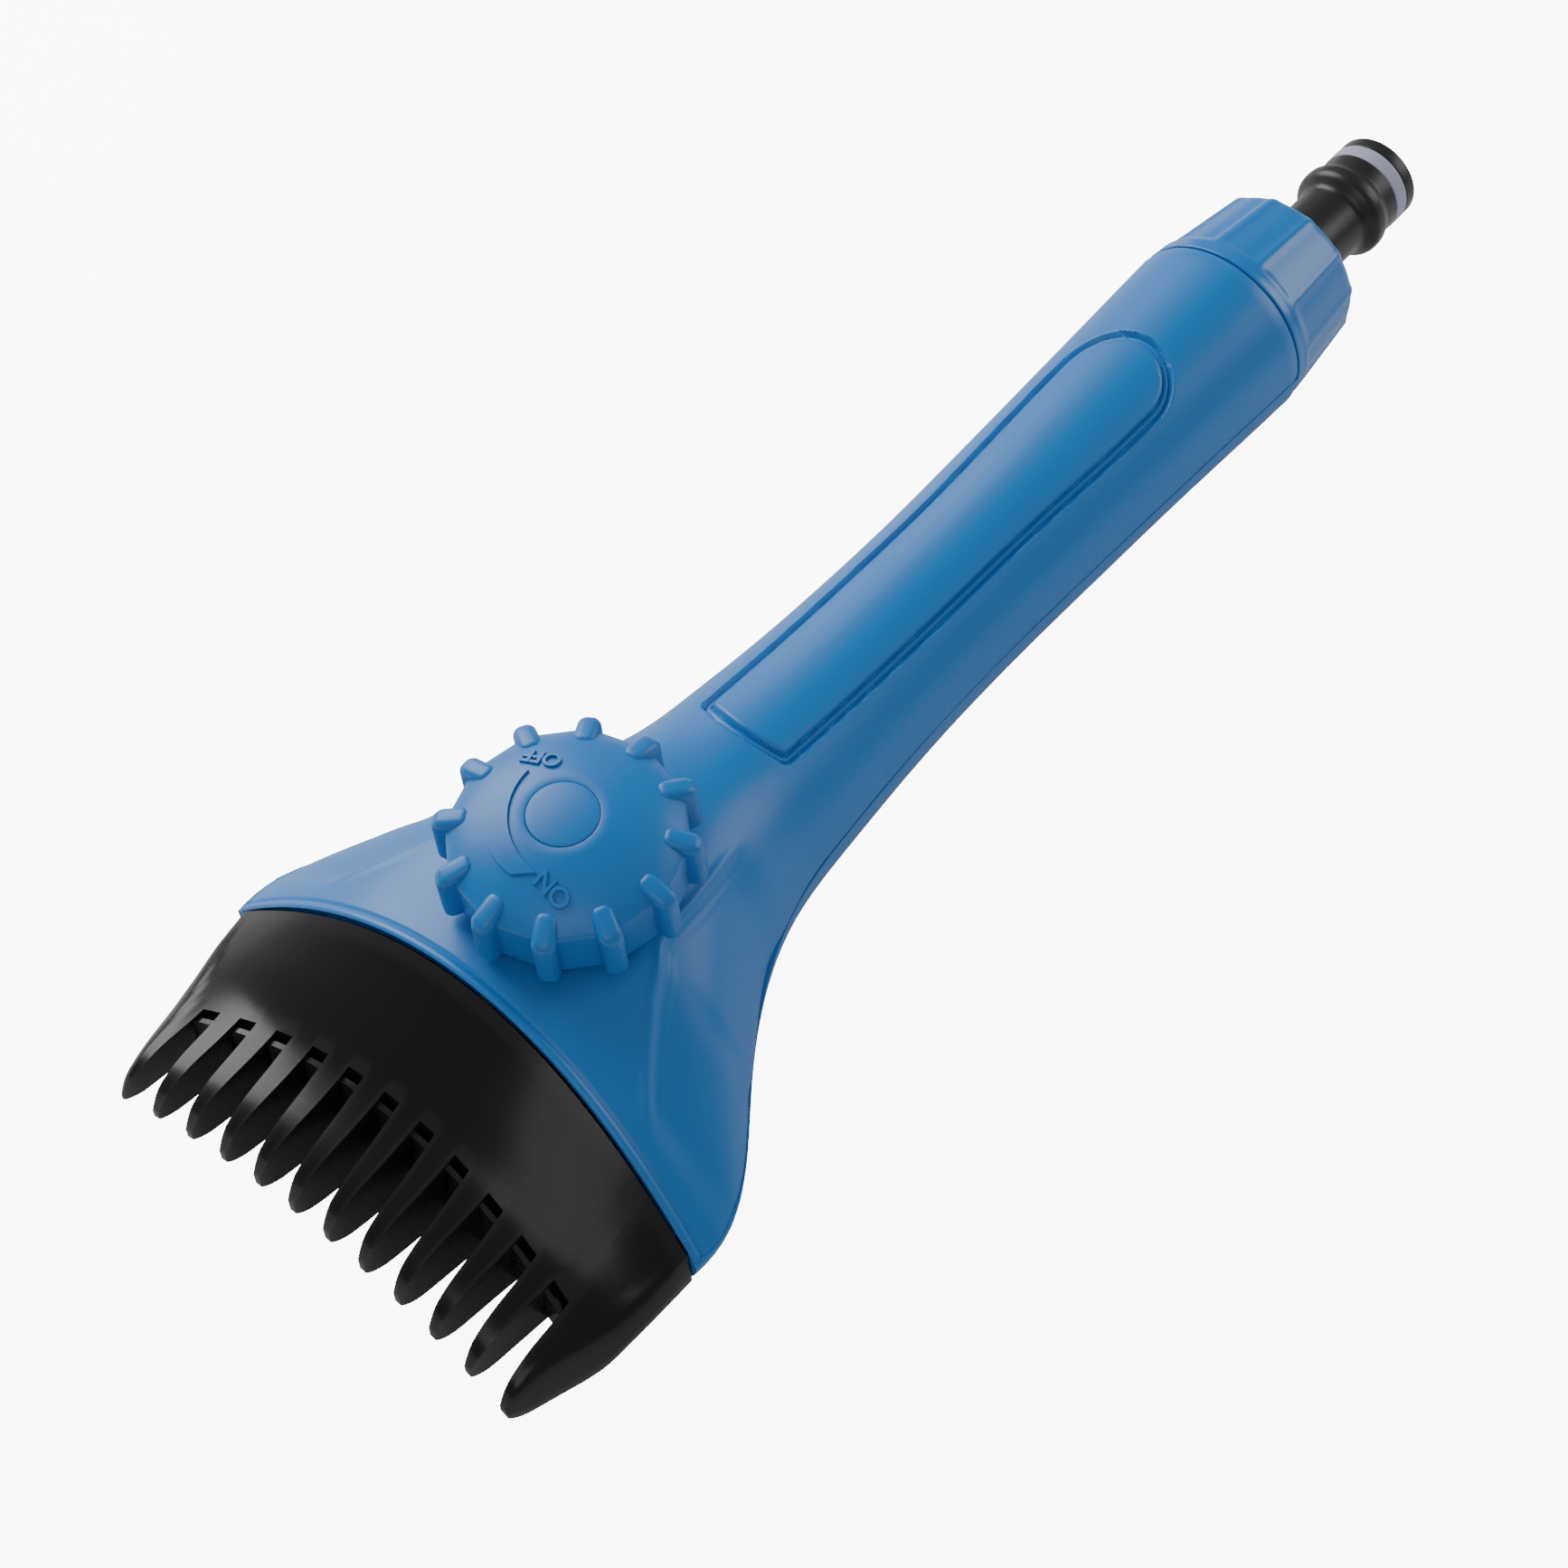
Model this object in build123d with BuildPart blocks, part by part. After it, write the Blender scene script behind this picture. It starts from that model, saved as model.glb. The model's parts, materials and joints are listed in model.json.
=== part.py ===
from build123d import *
import os
from math import cos, sin, pi, radians

# Hand-held comb wand for rinsing pleated filter cartridges.
# +X points to the hose end, +Y is the width of the comb, +Z points to the valve knob.
# The origin lies below the middle of the wand, at the height of its lowest point.
# "d" is always the distance back from the open end of the hose spigot.

# Driving dimensions, mm
overall_length = 266.3
axis_height = 20.64
wall = 2.2
gap = 0.3
slip = 0.05

# Hose connection
spigot_r = 7.9
spigot_neck_r = 6.8
bead_r = 8.65
seal_start, seal_end = 2.6, 5.6
bead_start, bead_end = 9.2, 13.6
flange_start, flange_end, flange_r = 30.2, 32.6, 10.6
collar_start, collar_end = 28.0, 47.9
collar_r, collar_front_r = 16.8, 14.7
collar_band, front_round = 3.2, 1.6
flute_r, flute_depth = 20.0, 0.6
flute_count = 12
thread_start, thread_r = 34.4, 12.0
water_r = 4.6

# Casing
casing_start = 48.3
parting = [(casing_start, 0.0), (150.0, -2.0), (240.0, -6.2)]
seam_d = 230.5
seam_bow_r = 255.0

# Knob, measured down from the crest plane of its grip ribs
knob_d = 208.16
knob_rise = 30.03
knob_tilt = 4.15
knob_r = 17.7
knob_rib_count = 12
knob_rib_first = 2.0
knob_skirt = 10.0
knob_dome = 4.6
knob_cap_r = 5.32

# Valve under the knob
plug_r = 6.5
stem_r = 3.6
port_r = 3.4
port_depth = 30.1
tube_r = 5.0
tube_bore_r = 3.5

# Comb
slot_count = 11
tooth_pitch = 6.99
slot_half_width, slot_taper = 1.45, 0.058
slot_root_d = 246.6
slot_root_r = 170.6
ledge = 2.0
lip_width, lip_drop = 0.8, 0.7
tip_d = 264.65
tip_bow_r = 439.0
jet_r = 0.7

hose_x = overall_length / 2


def along(d):
    """X of a point d back from the hose end."""
    return hose_x - d


# Local planes: "long" carries (d, height over the handle axis), "cross" carries (y, height).
long_plane = Plane(origin=(hose_x, 0, axis_height), x_dir=(-1, 0, 0), z_dir=(0, 1, 0))
long_axis = Axis((hose_x, 0, axis_height), (1, 0, 0))
tilt = radians(knob_tilt)
knob_origin = (along(knob_d), 0, axis_height + knob_rise)
knob_plane = Plane(origin=knob_origin, x_dir=(cos(tilt), 0, sin(tilt)), z_dir=(-sin(tilt), 0, cos(tilt)))
knob_side = Plane(origin=knob_origin, x_dir=(cos(tilt), 0, sin(tilt)), z_dir=(0, -1, 0))
knob_axis = Axis(knob_origin, (-sin(tilt), 0, cos(tilt)))


def cross_plane(d):
    """Plane square to the handle axis at distance d."""
    return Plane(origin=(along(d), 0, axis_height), x_dir=(0, 1, 0), z_dir=(1, 0, 0))


def profile(points, plane=long_plane):
    """Closed straight-sided profile for a turned or extruded piece."""
    with BuildSketch(plane) as sketch:
        with BuildLine():
            Polyline(*points, close=True)
        make_face()
    return sketch.sketch


def ring_profile(centre, section_r, plane=long_plane):
    """Round cord section of an O-ring."""
    with BuildSketch(plane) as sketch:
        with Locations(centre):
            Circle(section_r)
    return sketch.sketch


def body_section(station, inset=0.0):
    """Section of the casing: a rounded arch over a belly that turns squarer towards the head."""
    d, half_width, middle, top, bottom, y_power, z_power = station
    w = half_width - inset
    rise = top - inset - middle
    drop = middle - bottom - inset
    squareness = min(1.0, max(0.0, (d - 80.0) / 66.0))
    belly_y_power, belly_z_power = 2.0 + 0.6 * squareness, 2.0 + 0.2 * squareness
    arch, belly = [], []
    for step in range(13):
        angle = pi * step / 12
        side = cos(angle)
        y = w * (abs(side) ** 0.9) * (1 if side > 0 else -1)
        across = min(1.0, abs(y) / w)
        arch.append((y, middle + rise * (1 - across**y_power) ** (1 / z_power)))
        belly.append((y, middle - drop * (1 - across**belly_y_power) ** (1 / belly_z_power)))
    with BuildSketch(cross_plane(d)) as sketch:
        with BuildLine():
            Spline(*arch)
            Spline(*belly)
        make_face()
    return sketch.sketch


# Casing stations: d, half width, parting height, top, bottom, powers of the arch
casing_stations = [
    (48.3, 16.9, 0.0, 16.9, -16.9, 2.0, 2.0),
    (56.0, 16.65, -0.15, 16.5, -16.85, 2.0, 2.0),
    (66.0, 16.3, -0.3, 15.9, -16.7, 2.0, 2.0),
    (80.0, 15.85, -0.6, 15.2, -16.4, 2.0, 2.0),
    (98.0, 15.3, -1.0, 14.3, -16.3, 2.0, 2.0),
    (122.0, 14.8, -1.5, 13.3, -16.3, 2.0, 2.0),
    (146.0, 15.3, -2.0, 13.4, -17.3, 2.0, 2.0),
    (164.0, 16.6, -2.5, 14.2, -19.3, 2.0, 2.0),
    (178.0, 18.4, -3.0, 15.8, -20.5, 2.1, 1.9),
    (192.0, 23.4, -3.8, 18.4, -20.6, 2.5, 1.75),
    (208.0, 33.5, -4.6, 19.2, -20.6, 2.7, 1.55),
    (220.0, 42.4, -5.3, 18.4, -20.6, 2.2, 1.25),
    (228.0, 45.9, -5.8, 17.6, -20.6, 2.05, 1.06),
    (238.0, 45.6, -6.2, 16.9, -20.4, 2.0, 1.0),
]


def parabola_section(d, half_width, top, crown, bottom, belly, shoulder=0.0):
    """Section of the comb: crowned top and bottom, joined by straight sides or by round shoulders."""
    w = half_width
    edge = w - shoulder
    fall = crown * edge**2
    lift = belly * w**2
    turn = fall + 2 * crown * edge * shoulder
    with BuildSketch(cross_plane(d)) as sketch:
        with BuildLine():
            Bezier((-edge, top - fall), (0, top + fall), (edge, top - fall))
            if shoulder:
                Bezier((edge, top - fall), (w, top - turn), (w, bottom - lift))
            else:
                Line((w, top - fall), (w, bottom - lift))
            Bezier((w, bottom - lift), (0, bottom + lift), (-w, bottom - lift))
            if shoulder:
                Bezier((-w, bottom - lift), (-w, top - turn), (-edge, top - fall))
            else:
                Line((-w, bottom - lift), (-w, top - fall))
        make_face()
    return sketch.sketch


def upper_region(d, height, crown):
    """Everything above a crowned parting line at distance d."""
    reach = 60.0
    fall = crown * reach**2
    with BuildSketch(cross_plane(d)) as sketch:
        with BuildLine():
            Bezier((-reach, height - fall), (0, height + fall), (reach, height - fall))
            Line((reach, height - fall), (reach, reach))
            Line((reach, reach), (-reach, reach))
            Line((-reach, reach), (-reach, height - fall))
        make_face()
    return sketch.sketch


# ---------------------------------------------------------------- shapes shared by several pieces
with BuildPart() as casing_outside:
    loft(sections=[body_section(s) for s in casing_stations])

with BuildPart() as casing_inside:
    loft(sections=[body_section((s[0] + (wall if s is casing_stations[0] else 0),) + s[1:], wall)
                   for s in casing_stations])

# Column that bounds the comb side of the bowed seam
with BuildPart() as seam_column:
    with Locations((along(seam_d) - seam_bow_r, 0, axis_height)):
        Cylinder(seam_bow_r, 120)

# Everything above the long parting line of the two casing shells
with BuildPart() as above_parting:
    extrude(profile([(40, 0)] + parting + [(275, -7.8), (275, 60), (40, 60)]), amount=70, both=True)

# Casing screws: d, y, height of the head's seat, height of the tip
casing_screws = [
    (76.0, 8.8, -9.0, 5.0),
    (150.0, -9.6, -12.0, 4.0),
    (190.0, 15.5, -15.0, 4.0),
    (190.0, -15.5, -15.0, 4.0),
    (214.0, 31.0, -14.0, 1.0),
    (214.0, -31.0, -14.0, 1.0),
]
screw_r, screw_head_r, boss_r = 1.4, 2.7, 3.1
boss_spots = [(along(d), y, axis_height) for d, y, seat, tip in casing_screws]

with BuildPart() as casing_bosses:
    with Locations(*boss_spots):
        Cylinder(boss_r, 70)
    add(casing_outside.part, mode=Mode.INTERSECT)

# Hollow casing before it is parted
with BuildPart() as casing:
    add(casing_outside.part)
    add(casing_inside.part, mode=Mode.SUBTRACT)
    add(casing_bosses.part)
    # Ring that traps the flange of the inlet nipple
    with BuildSketch(cross_plane(58.3)):
        Circle(15.9)
    extrude(amount=2.0)
    add(seam_column.part, mode=Mode.SUBTRACT)
    # Mouth for the thread and hole in the trap ring
    revolve(profile([(45, 0), (54, 0), (54, thread_r + slip), (45, thread_r + slip)]), axis=long_axis,
            mode=Mode.SUBTRACT)
    revolve(profile([(54, 0), (62, 0), (62, 9.3), (54, 9.3)]), axis=long_axis, mode=Mode.SUBTRACT)

# ---------------------------------------------------------------- casing upper shell
# Outline of the grip panel in plan, and the depth of the groove around it
panel_knob_end, panel_round_centre = 169.4, 79.5
panel_half_width, panel_round_r = 7.0, 8.2
groove_width, groove_depth = 1.8, 1.0
plan_plane = Plane(origin=(hose_x, 0, axis_height), x_dir=(-1, 0, 0), z_dir=(0, 0, -1))

with BuildPart() as grip_groove:
    with BuildSketch(plan_plane.offset(-40)):
        with BuildLine():
            Line((panel_round_centre, panel_round_r), (120.0, panel_half_width))
            Line((120.0, panel_half_width), (panel_knob_end, panel_half_width))
            ThreePointArc((panel_knob_end, panel_half_width), (panel_knob_end + 1.4, 0),
                          (panel_knob_end, -panel_half_width))
            Line((panel_knob_end, -panel_half_width), (120.0, -panel_half_width))
            Line((120.0, -panel_half_width), (panel_round_centre, -panel_round_r))
            ThreePointArc((panel_round_centre, -panel_round_r), (panel_round_centre - panel_round_r, 0),
                          (panel_round_centre, panel_round_r))
        outline = make_face()
        offset(outline, amount=-groove_width, mode=Mode.SUBTRACT)
    extrude(amount=39)

with BuildPart() as groove_floor:
    loft(sections=[body_section(s, groove_depth) for s in casing_stations])

with BuildPart() as handle_upper_shell:
    add(casing.part)
    # Posts that carry the valve body
    with BuildSketch(knob_plane.offset(-17.6)):
        with Locations((0, 13.2), (0, -13.2)):
            Circle(3.0)
    extrude(amount=4.4)
    add(above_parting.part, mode=Mode.INTERSECT)
    # Groove around the grip panel
    add(grip_groove.part - groove_floor.part, mode=Mode.SUBTRACT)
    # Hole for the valve neck, pilot holes in the posts and the bosses
    with BuildSketch(knob_plane.offset(-8)):
        Circle(6.1)
    extrude(amount=-8, mode=Mode.SUBTRACT)
    with BuildSketch(knob_plane.offset(-18)):
        with Locations((0, 13.2), (0, -13.2)):
            Circle(1.25)
    extrude(amount=3.6, mode=Mode.SUBTRACT)
    for d, y, seat, tip in casing_screws:
        with BuildSketch(Plane.XY.offset(axis_height - 30)):
            with Locations((along(d), y)):
                Circle(screw_r + slip)
        extrude(amount=30.5 + tip, mode=Mode.SUBTRACT)
handle_upper_shell.part.label = "handle_upper_shell"

# ---------------------------------------------------------------- casing lower shell
head_screw_spots = [(along(227.2), 20.0), (along(227.2), -20.0)]
head_screw_seat = -18.2

with BuildPart() as handle_lower_shell:
    add(casing.part)
    add(above_parting.part, mode=Mode.SUBTRACT)
    for d, y, seat, tip in casing_screws:
        with BuildSketch(Plane.XY.offset(axis_height - 30)):
            with Locations((along(d), y)):
                Circle(screw_head_r + 0.2)
        extrude(amount=30 + seat, mode=Mode.SUBTRACT)
        with BuildSketch(Plane.XY.offset(axis_height - 30)):
            with Locations((along(d), y)):
                Circle(screw_r + slip)
        extrude(amount=40, mode=Mode.SUBTRACT)
    with BuildSketch(Plane.XY.offset(axis_height - 30)):
        with Locations(*head_screw_spots):
            Circle(screw_head_r + 0.2)
    extrude(amount=30 + head_screw_seat, mode=Mode.SUBTRACT)
    with BuildSketch(Plane.XY.offset(axis_height - 30)):
        with Locations(*head_screw_spots):
            Circle(screw_r + slip)
    extrude(amount=20, mode=Mode.SUBTRACT)
handle_lower_shell.part.label = "handle_lower_shell"

# ---------------------------------------------------------------- casing screws, all alike but for length
with BuildPart() as handle_screws:
    for d, y, seat, tip in casing_screws:
        with BuildSketch(Plane.XY.offset(axis_height + seat)):
            with Locations((along(d), y)):
                Circle(screw_head_r)
        extrude(amount=-1.8)
        with BuildSketch(Plane.XY.offset(axis_height + seat)):
            with Locations((along(d), y)):
                Circle(screw_r)
        extrude(amount=tip - seat)
        # Cross slot
        with BuildSketch(Plane.XY.offset(axis_height + seat - 1.8)):
            with Locations((along(d), y)):
                Rectangle(3.0, 0.8)
                Rectangle(0.8, 3.0)
        extrude(amount=1.0, mode=Mode.SUBTRACT)
handle_screws.part.label = "handle_screws"

# ---------------------------------------------------------------- comb envelope
# Stations: d, half width, top, crown of the top, bottom, crown of the bottom, width of the round shoulder
comb_stations = [
    (229.0, 45.4, 18.1, 0.0106, -20.0, -0.0045, 1.0),
    (240.0, 45.3, 10.6, 0.0085, -15.0, -0.0020, 2.4),
    (246.6, 44.6, 6.1, 0.0073, -11.5, 0.0005, 3.6),
    (252.0, 43.7, 3.9, 0.0063, -8.8, 0.0028, 4.4),
    (260.0, 41.6, 1.4, 0.0048, -7.8, 0.0033, 3.4),
    (266.25, 39.9, -2.4, 0.0039, -6.6, 0.0039, 1.6),
]


def chamber_section(d, inset=0.0):
    """Section of the water chamber inside the comb."""
    share = (d - 235.6) / 8.0
    top = 9.6 - 4.9 * share - inset
    crown = 0.0096 - 0.0018 * share
    bottom = -15.0 + 4.0 * share + inset
    belly = -0.0030 + 0.0018 * share
    return parabola_section(d, 36.3 - inset, top, crown, bottom, belly)


with BuildPart() as comb_envelope:
    loft(sections=[parabola_section(*s) for s in comb_stations], ruled=True)
    add(seam_column.part, mode=Mode.INTERSECT)
    # Bowed line of the tooth tips
    with Locations((along(tip_d) - tip_bow_r, 0, axis_height)):
        Cylinder(tip_bow_r, 120, mode=Mode.SUBTRACT)
    # Hollow tongue that plugs into the casing
    loft(sections=[parabola_section(d, 38.8, 14.2, 0.0115, -17.6, -0.0050) for d in (223.5, 236.0)])
    loft(sections=[parabola_section(d, 35.5, 11.2, 0.0115, -14.6, -0.0050) for d in (220.0, 229.5)],
         mode=Mode.SUBTRACT)
    # Water chamber and the socket of the outlet tube
    loft(sections=[chamber_section(235.6), chamber_section(243.6)], mode=Mode.SUBTRACT)
    revolve(profile([(220, 0), (240, 0), (240, tube_bore_r), (233.6, tube_bore_r),
                     (233.6, tube_r + slip), (220, tube_r + slip)]), axis=long_axis, mode=Mode.SUBTRACT)

# Crowned parting surface of the comb shells, and the same raised by the gasket's thickness
gasket_thickness = 1.0
with BuildPart() as above_split:
    loft(sections=[upper_region(215.0, 15.2, 0.0105), upper_region(270.0, -11.2, 0.0036)], ruled=True)
with BuildPart() as above_gasket:
    loft(sections=[upper_region(215.0, 15.2 + gasket_thickness, 0.0105),
                   upper_region(270.0, -11.2 + gasket_thickness, 0.0036)], ruled=True)


def comb_envelope_solid(drop):
    """Outside of the comb with its top lowered by drop."""
    with BuildPart() as solid:
        loft(sections=[parabola_section(d, w, top - drop, crown, bottom, belly, shoulder)
                       for d, w, top, crown, bottom, belly, shoulder in comb_stations], ruled=True)
    return solid.part


def slot_cutter(root_r, narrower=0.0):
    """The open slots between the teeth, ending on a bowed root line."""
    near_d, far_d = slot_root_d - 6.0, tip_d + 20.0
    near_half = slot_half_width + slot_taper * (near_d - slot_root_d) - narrower
    far_half = slot_half_width + slot_taper * (far_d - slot_root_d) - narrower
    with BuildPart() as cutter:
        with BuildSketch(Plane.XY.offset(axis_height - 45)):
            with GridLocations(1, tooth_pitch, 1, slot_count):
                Polygon((along(near_d), near_half), (along(near_d), -near_half),
                        (along(far_d), -far_half), (along(far_d), far_half), align=None)
        extrude(amount=90)
        with Locations((along(slot_root_d) - slot_root_r, 0, axis_height)):
            Cylinder(root_r, 120, mode=Mode.INTERSECT)
    return cutter.part


# ---------------------------------------------------------------- gasket between the comb shells
with BuildPart() as comb_gasket:
    with BuildSketch(plan_plane.offset(-60)):
        with Locations((239.65, 0)):
            Rectangle(11.5, 76.2)
            Rectangle(9.2, 73.8, mode=Mode.SUBTRACT)
    extrude(amount=120)
    add(above_split.part, mode=Mode.INTERSECT)
    add(above_gasket.part, mode=Mode.SUBTRACT)
comb_gasket.part.label = "comb_gasket"

# ---------------------------------------------------------------- comb shells
comb_screw_spots = [(along(238.5), 39.5), (along(238.5), -39.5)]
comb_screw_r, comb_screw_head_r = 1.2, 2.4
comb_screw_seat, comb_screw_tip = -9.9, -5.6
slot_spots = [(slot - (slot_count - 1) / 2) * tooth_pitch for slot in range(slot_count)]

with BuildPart() as comb_upper_shell:
    add(comb_envelope.part)
    add(above_split.part, mode=Mode.INTERSECT)
    add(slot_cutter(slot_root_r), mode=Mode.SUBTRACT)
    add(comb_gasket.part, mode=Mode.SUBTRACT)
    # One jet at the root of each slot, just over the ledge of the lower shell
    for y in slot_spots:
        with BuildSketch(cross_plane(252.5)):
            with Locations((y, 1.9 - 0.0069 * y**2)):
                Circle(jet_r)
        extrude(amount=11.0, mode=Mode.SUBTRACT)
    with BuildSketch(Plane.XY.offset(axis_height - 30)):
        with Locations(*comb_screw_spots):
            Circle(comb_screw_r + slip)
    extrude(amount=30.3 + comb_screw_tip, mode=Mode.SUBTRACT)
comb_upper_shell.part.label = "comb_upper_shell"

with BuildPart() as comb_lower_shell:
    add(comb_envelope.part)
    add(above_split.part, mode=Mode.SUBTRACT)
    add(slot_cutter(slot_root_r - ledge), mode=Mode.SUBTRACT)
    with BuildSketch(Plane.XY.offset(axis_height - 30)):
        with Locations(*comb_screw_spots):
            Circle(comb_screw_r + slip)
    extrude(amount=30, mode=Mode.SUBTRACT)
    with BuildSketch(Plane.XY.offset(axis_height - 30)):
        with Locations(*comb_screw_spots):
            Circle(comb_screw_head_r + 0.2)
    extrude(amount=30 + comb_screw_seat, mode=Mode.SUBTRACT)
    with BuildSketch(Plane.XY.offset(axis_height - 30)):
        with Locations(*head_screw_spots):
            Circle(screw_r + slip)
    extrude(amount=18.5, mode=Mode.SUBTRACT)
    # Lip that stands in each slot just in front of the jets
    with BuildPart(mode=Mode.ADD):
        add(comb_envelope_solid(lip_drop))
        with Locations((along(slot_root_d) - slot_root_r, 0, axis_height)):
            Cylinder(slot_root_r - ledge + lip_width, 120, mode=Mode.INTERSECT)
            Cylinder(slot_root_r - ledge, 120, mode=Mode.SUBTRACT)
        add(slot_cutter(slot_root_r + 5.0, 0.02), mode=Mode.INTERSECT)
comb_lower_shell.part.label = "comb_lower_shell"

# ---------------------------------------------------------------- comb and head screws
with BuildPart() as comb_screws:
    for x, y in comb_screw_spots:
        with BuildSketch(Plane.XY.offset(axis_height + comb_screw_seat)):
            with Locations((x, y)):
                Circle(comb_screw_head_r)
        extrude(amount=-1.5)
        with BuildSketch(Plane.XY.offset(axis_height + comb_screw_seat)):
            with Locations((x, y)):
                Circle(comb_screw_r)
        extrude(amount=comb_screw_tip - comb_screw_seat)
comb_screws.part.label = "comb_screws"

with BuildPart() as head_screws:
    for x, y in head_screw_spots:
        with BuildSketch(Plane.XY.offset(axis_height + head_screw_seat)):
            with Locations((x, y)):
                Circle(screw_head_r)
        extrude(amount=-1.4)
        with BuildSketch(Plane.XY.offset(axis_height + head_screw_seat)):
            with Locations((x, y)):
                Circle(screw_r)
        extrude(amount=5.4)
head_screws.part.label = "head_screws"

# ---------------------------------------------------------------- water chamber
with BuildPart() as diffuser_plate:
    loft(sections=[chamber_section(238.4, 0.15), chamber_section(239.6, 0.15)])
    # Two rows of holes spread the water over the width of the comb
    with BuildSketch(cross_plane(241.0)):
        with Locations((0, -5.0)):
            with GridLocations(7.0, 4.0, 9, 2):
                Circle(1.3)
    extrude(amount=4.0, mode=Mode.SUBTRACT)
diffuser_plate.part.label = "diffuser_plate"

# ---------------------------------------------------------------- water tubes and their O-rings
cord_r = 0.55


def tube_profile(start, end, ring_spots):
    """Turned tube with a groove for each O-ring."""
    edge = [(start, tube_bore_r), (start, tube_r)]
    for spot in ring_spots:
        edge += [(spot - 0.7, tube_r), (spot - 0.7, tube_r - 1.15), (spot + 0.7, tube_r - 1.15), (spot + 0.7, tube_r)]
    return profile(edge + [(end, tube_r), (end, tube_bore_r)])


inlet_rings = [62.5, 194.4]
outlet_rings = [217.6, 231.6]

with BuildPart() as inlet_tube:
    revolve(tube_profile(58.6, 197.2, inlet_rings), axis=long_axis)
inlet_tube.part.label = "inlet_tube"

with BuildPart() as inlet_tube_o_rings:
    for spot in inlet_rings:
        revolve(ring_profile((spot, tube_r - cord_r), cord_r), axis=long_axis)
inlet_tube_o_rings.part.label = "inlet_tube_o_rings"

with BuildPart() as outlet_tube:
    revolve(tube_profile(214.8, 233.4, outlet_rings), axis=long_axis)
outlet_tube.part.label = "outlet_tube"

with BuildPart() as outlet_tube_o_rings:
    for spot in outlet_rings:
        revolve(ring_profile((spot, tube_r - cord_r), cord_r), axis=long_axis)
outlet_tube_o_rings.part.label = "outlet_tube_o_rings"

# ---------------------------------------------------------------- valve
# Heights along the knob axis count from the crest plane of the knob's ribs.
body_top, body_bottom = -17.8, -40.0
neck_top, neck_r = -11.4, 6.0
plug_top, plug_bottom = -20.9, -36.9
body_r = 10.5
ear_y, ear_top, ear_bottom = 13.2, -17.7, -20.0
valve_d = knob_d - port_depth * sin(tilt)

with BuildPart() as valve_body:
    revolve(profile([(0, body_bottom), (body_r, body_bottom), (body_r, body_top), (neck_r, body_top),
                     (neck_r, neck_top), (0, neck_top)], knob_side), axis=knob_axis)
    # Sockets for the two tubes
    revolve(profile([(191.5, 0), (220.5, 0), (220.5, 7.2), (191.5, 7.2)]), axis=long_axis)
    # Ears for the screws
    with BuildSketch(knob_plane.offset(ear_bottom)):
        Rectangle(6.4, 2 * ear_y)
        with Locations((0, ear_y), (0, -ear_y)):
            Circle(3.2)
    extrude(amount=ear_top - ear_bottom)
    with BuildSketch(knob_plane.offset(ear_bottom - 1)):
        with Locations((0, ear_y), (0, -ear_y)):
            Circle(1.3)
    extrude(amount=5, mode=Mode.SUBTRACT)
    # Chamber of the plug, bore of the stem
    revolve(profile([(0, body_bottom), (plug_r + slip, body_bottom), (plug_r + slip, -20.0),
                     (stem_r + slip, -20.0), (stem_r + slip, neck_top), (0, neck_top)], knob_side),
            axis=knob_axis, mode=Mode.SUBTRACT)
    # Tube sockets, pockets of the seats and water way
    for near, mouth in ((197.4, 191.5), (214.6, 220.5)):
        seat = near + (0.7 if near < valve_d else -0.7)
        revolve(profile([(mouth, 0), (near, 0), (near, tube_r + slip), (mouth, tube_r + slip)]),
                axis=long_axis, mode=Mode.SUBTRACT)
        revolve(profile([(seat, 0), (valve_d, 0), (valve_d, 4.6), (seat, 4.6)]), axis=long_axis, mode=Mode.SUBTRACT)
        revolve(profile([(near, 0), (seat, 0), (seat, port_r), (near, port_r)]), axis=long_axis, mode=Mode.SUBTRACT)
valve_body.part.label = "valve_body"

with BuildPart() as valve_body_screws:
    with BuildSketch(knob_plane.offset(ear_bottom)):
        with Locations((0, ear_y), (0, -ear_y)):
            Circle(2.3)
    extrude(amount=-1.5)
    with BuildSketch(knob_plane.offset(ear_bottom)):
        with Locations((0, ear_y), (0, -ear_y)):
            Circle(1.2)
    extrude(amount=5.2)
valve_body_screws.part.label = "valve_body_screws"

# Rubber seats that press on the plug around each port
with BuildPart() as valve_seats:
    for side in (-1, 1):
        front = valve_d + side * (plug_r + 0.45)
        back = valve_d + side * (plug_r + 1.35)
        revolve(profile([(front, port_r), (back, port_r), (back, 4.55), (front, 4.55)]), axis=long_axis)
valve_seats.part.label = "valve_seats"

with BuildPart() as valve_bottom_cap:
    revolve(profile([(0, -42.4), (10.3, -42.4), (10.3, body_bottom), (plug_r, body_bottom), (plug_r, -39.3),
                     (5.3, -39.3), (5.3, -37.9), (plug_r, -37.9), (plug_r, -37.1), (0, -37.1)], knob_side),
            axis=knob_axis)
valve_bottom_cap.part.label = "valve_bottom_cap"

with BuildPart() as valve_cap_o_ring:
    revolve(ring_profile((plug_r - cord_r, -38.6), cord_r, knob_side), axis=knob_axis)
valve_cap_o_ring.part.label = "valve_cap_o_ring"

with BuildPart() as thrust_washer:
    revolve(profile([(stem_r + 0.2, -20.8), (6.3, -20.8), (6.3, -20.05), (stem_r + 0.2, -20.05)], knob_side),
            axis=knob_axis)
thrust_washer.part.label = "thrust_washer"

# Spindle: plug with a cross bore that lies square to the pipe while the valve is shut
drive = 5.0
drive_top, drive_bottom = -4.2, -10.7
stem_rings = [-13.4, -17.0]

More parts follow.
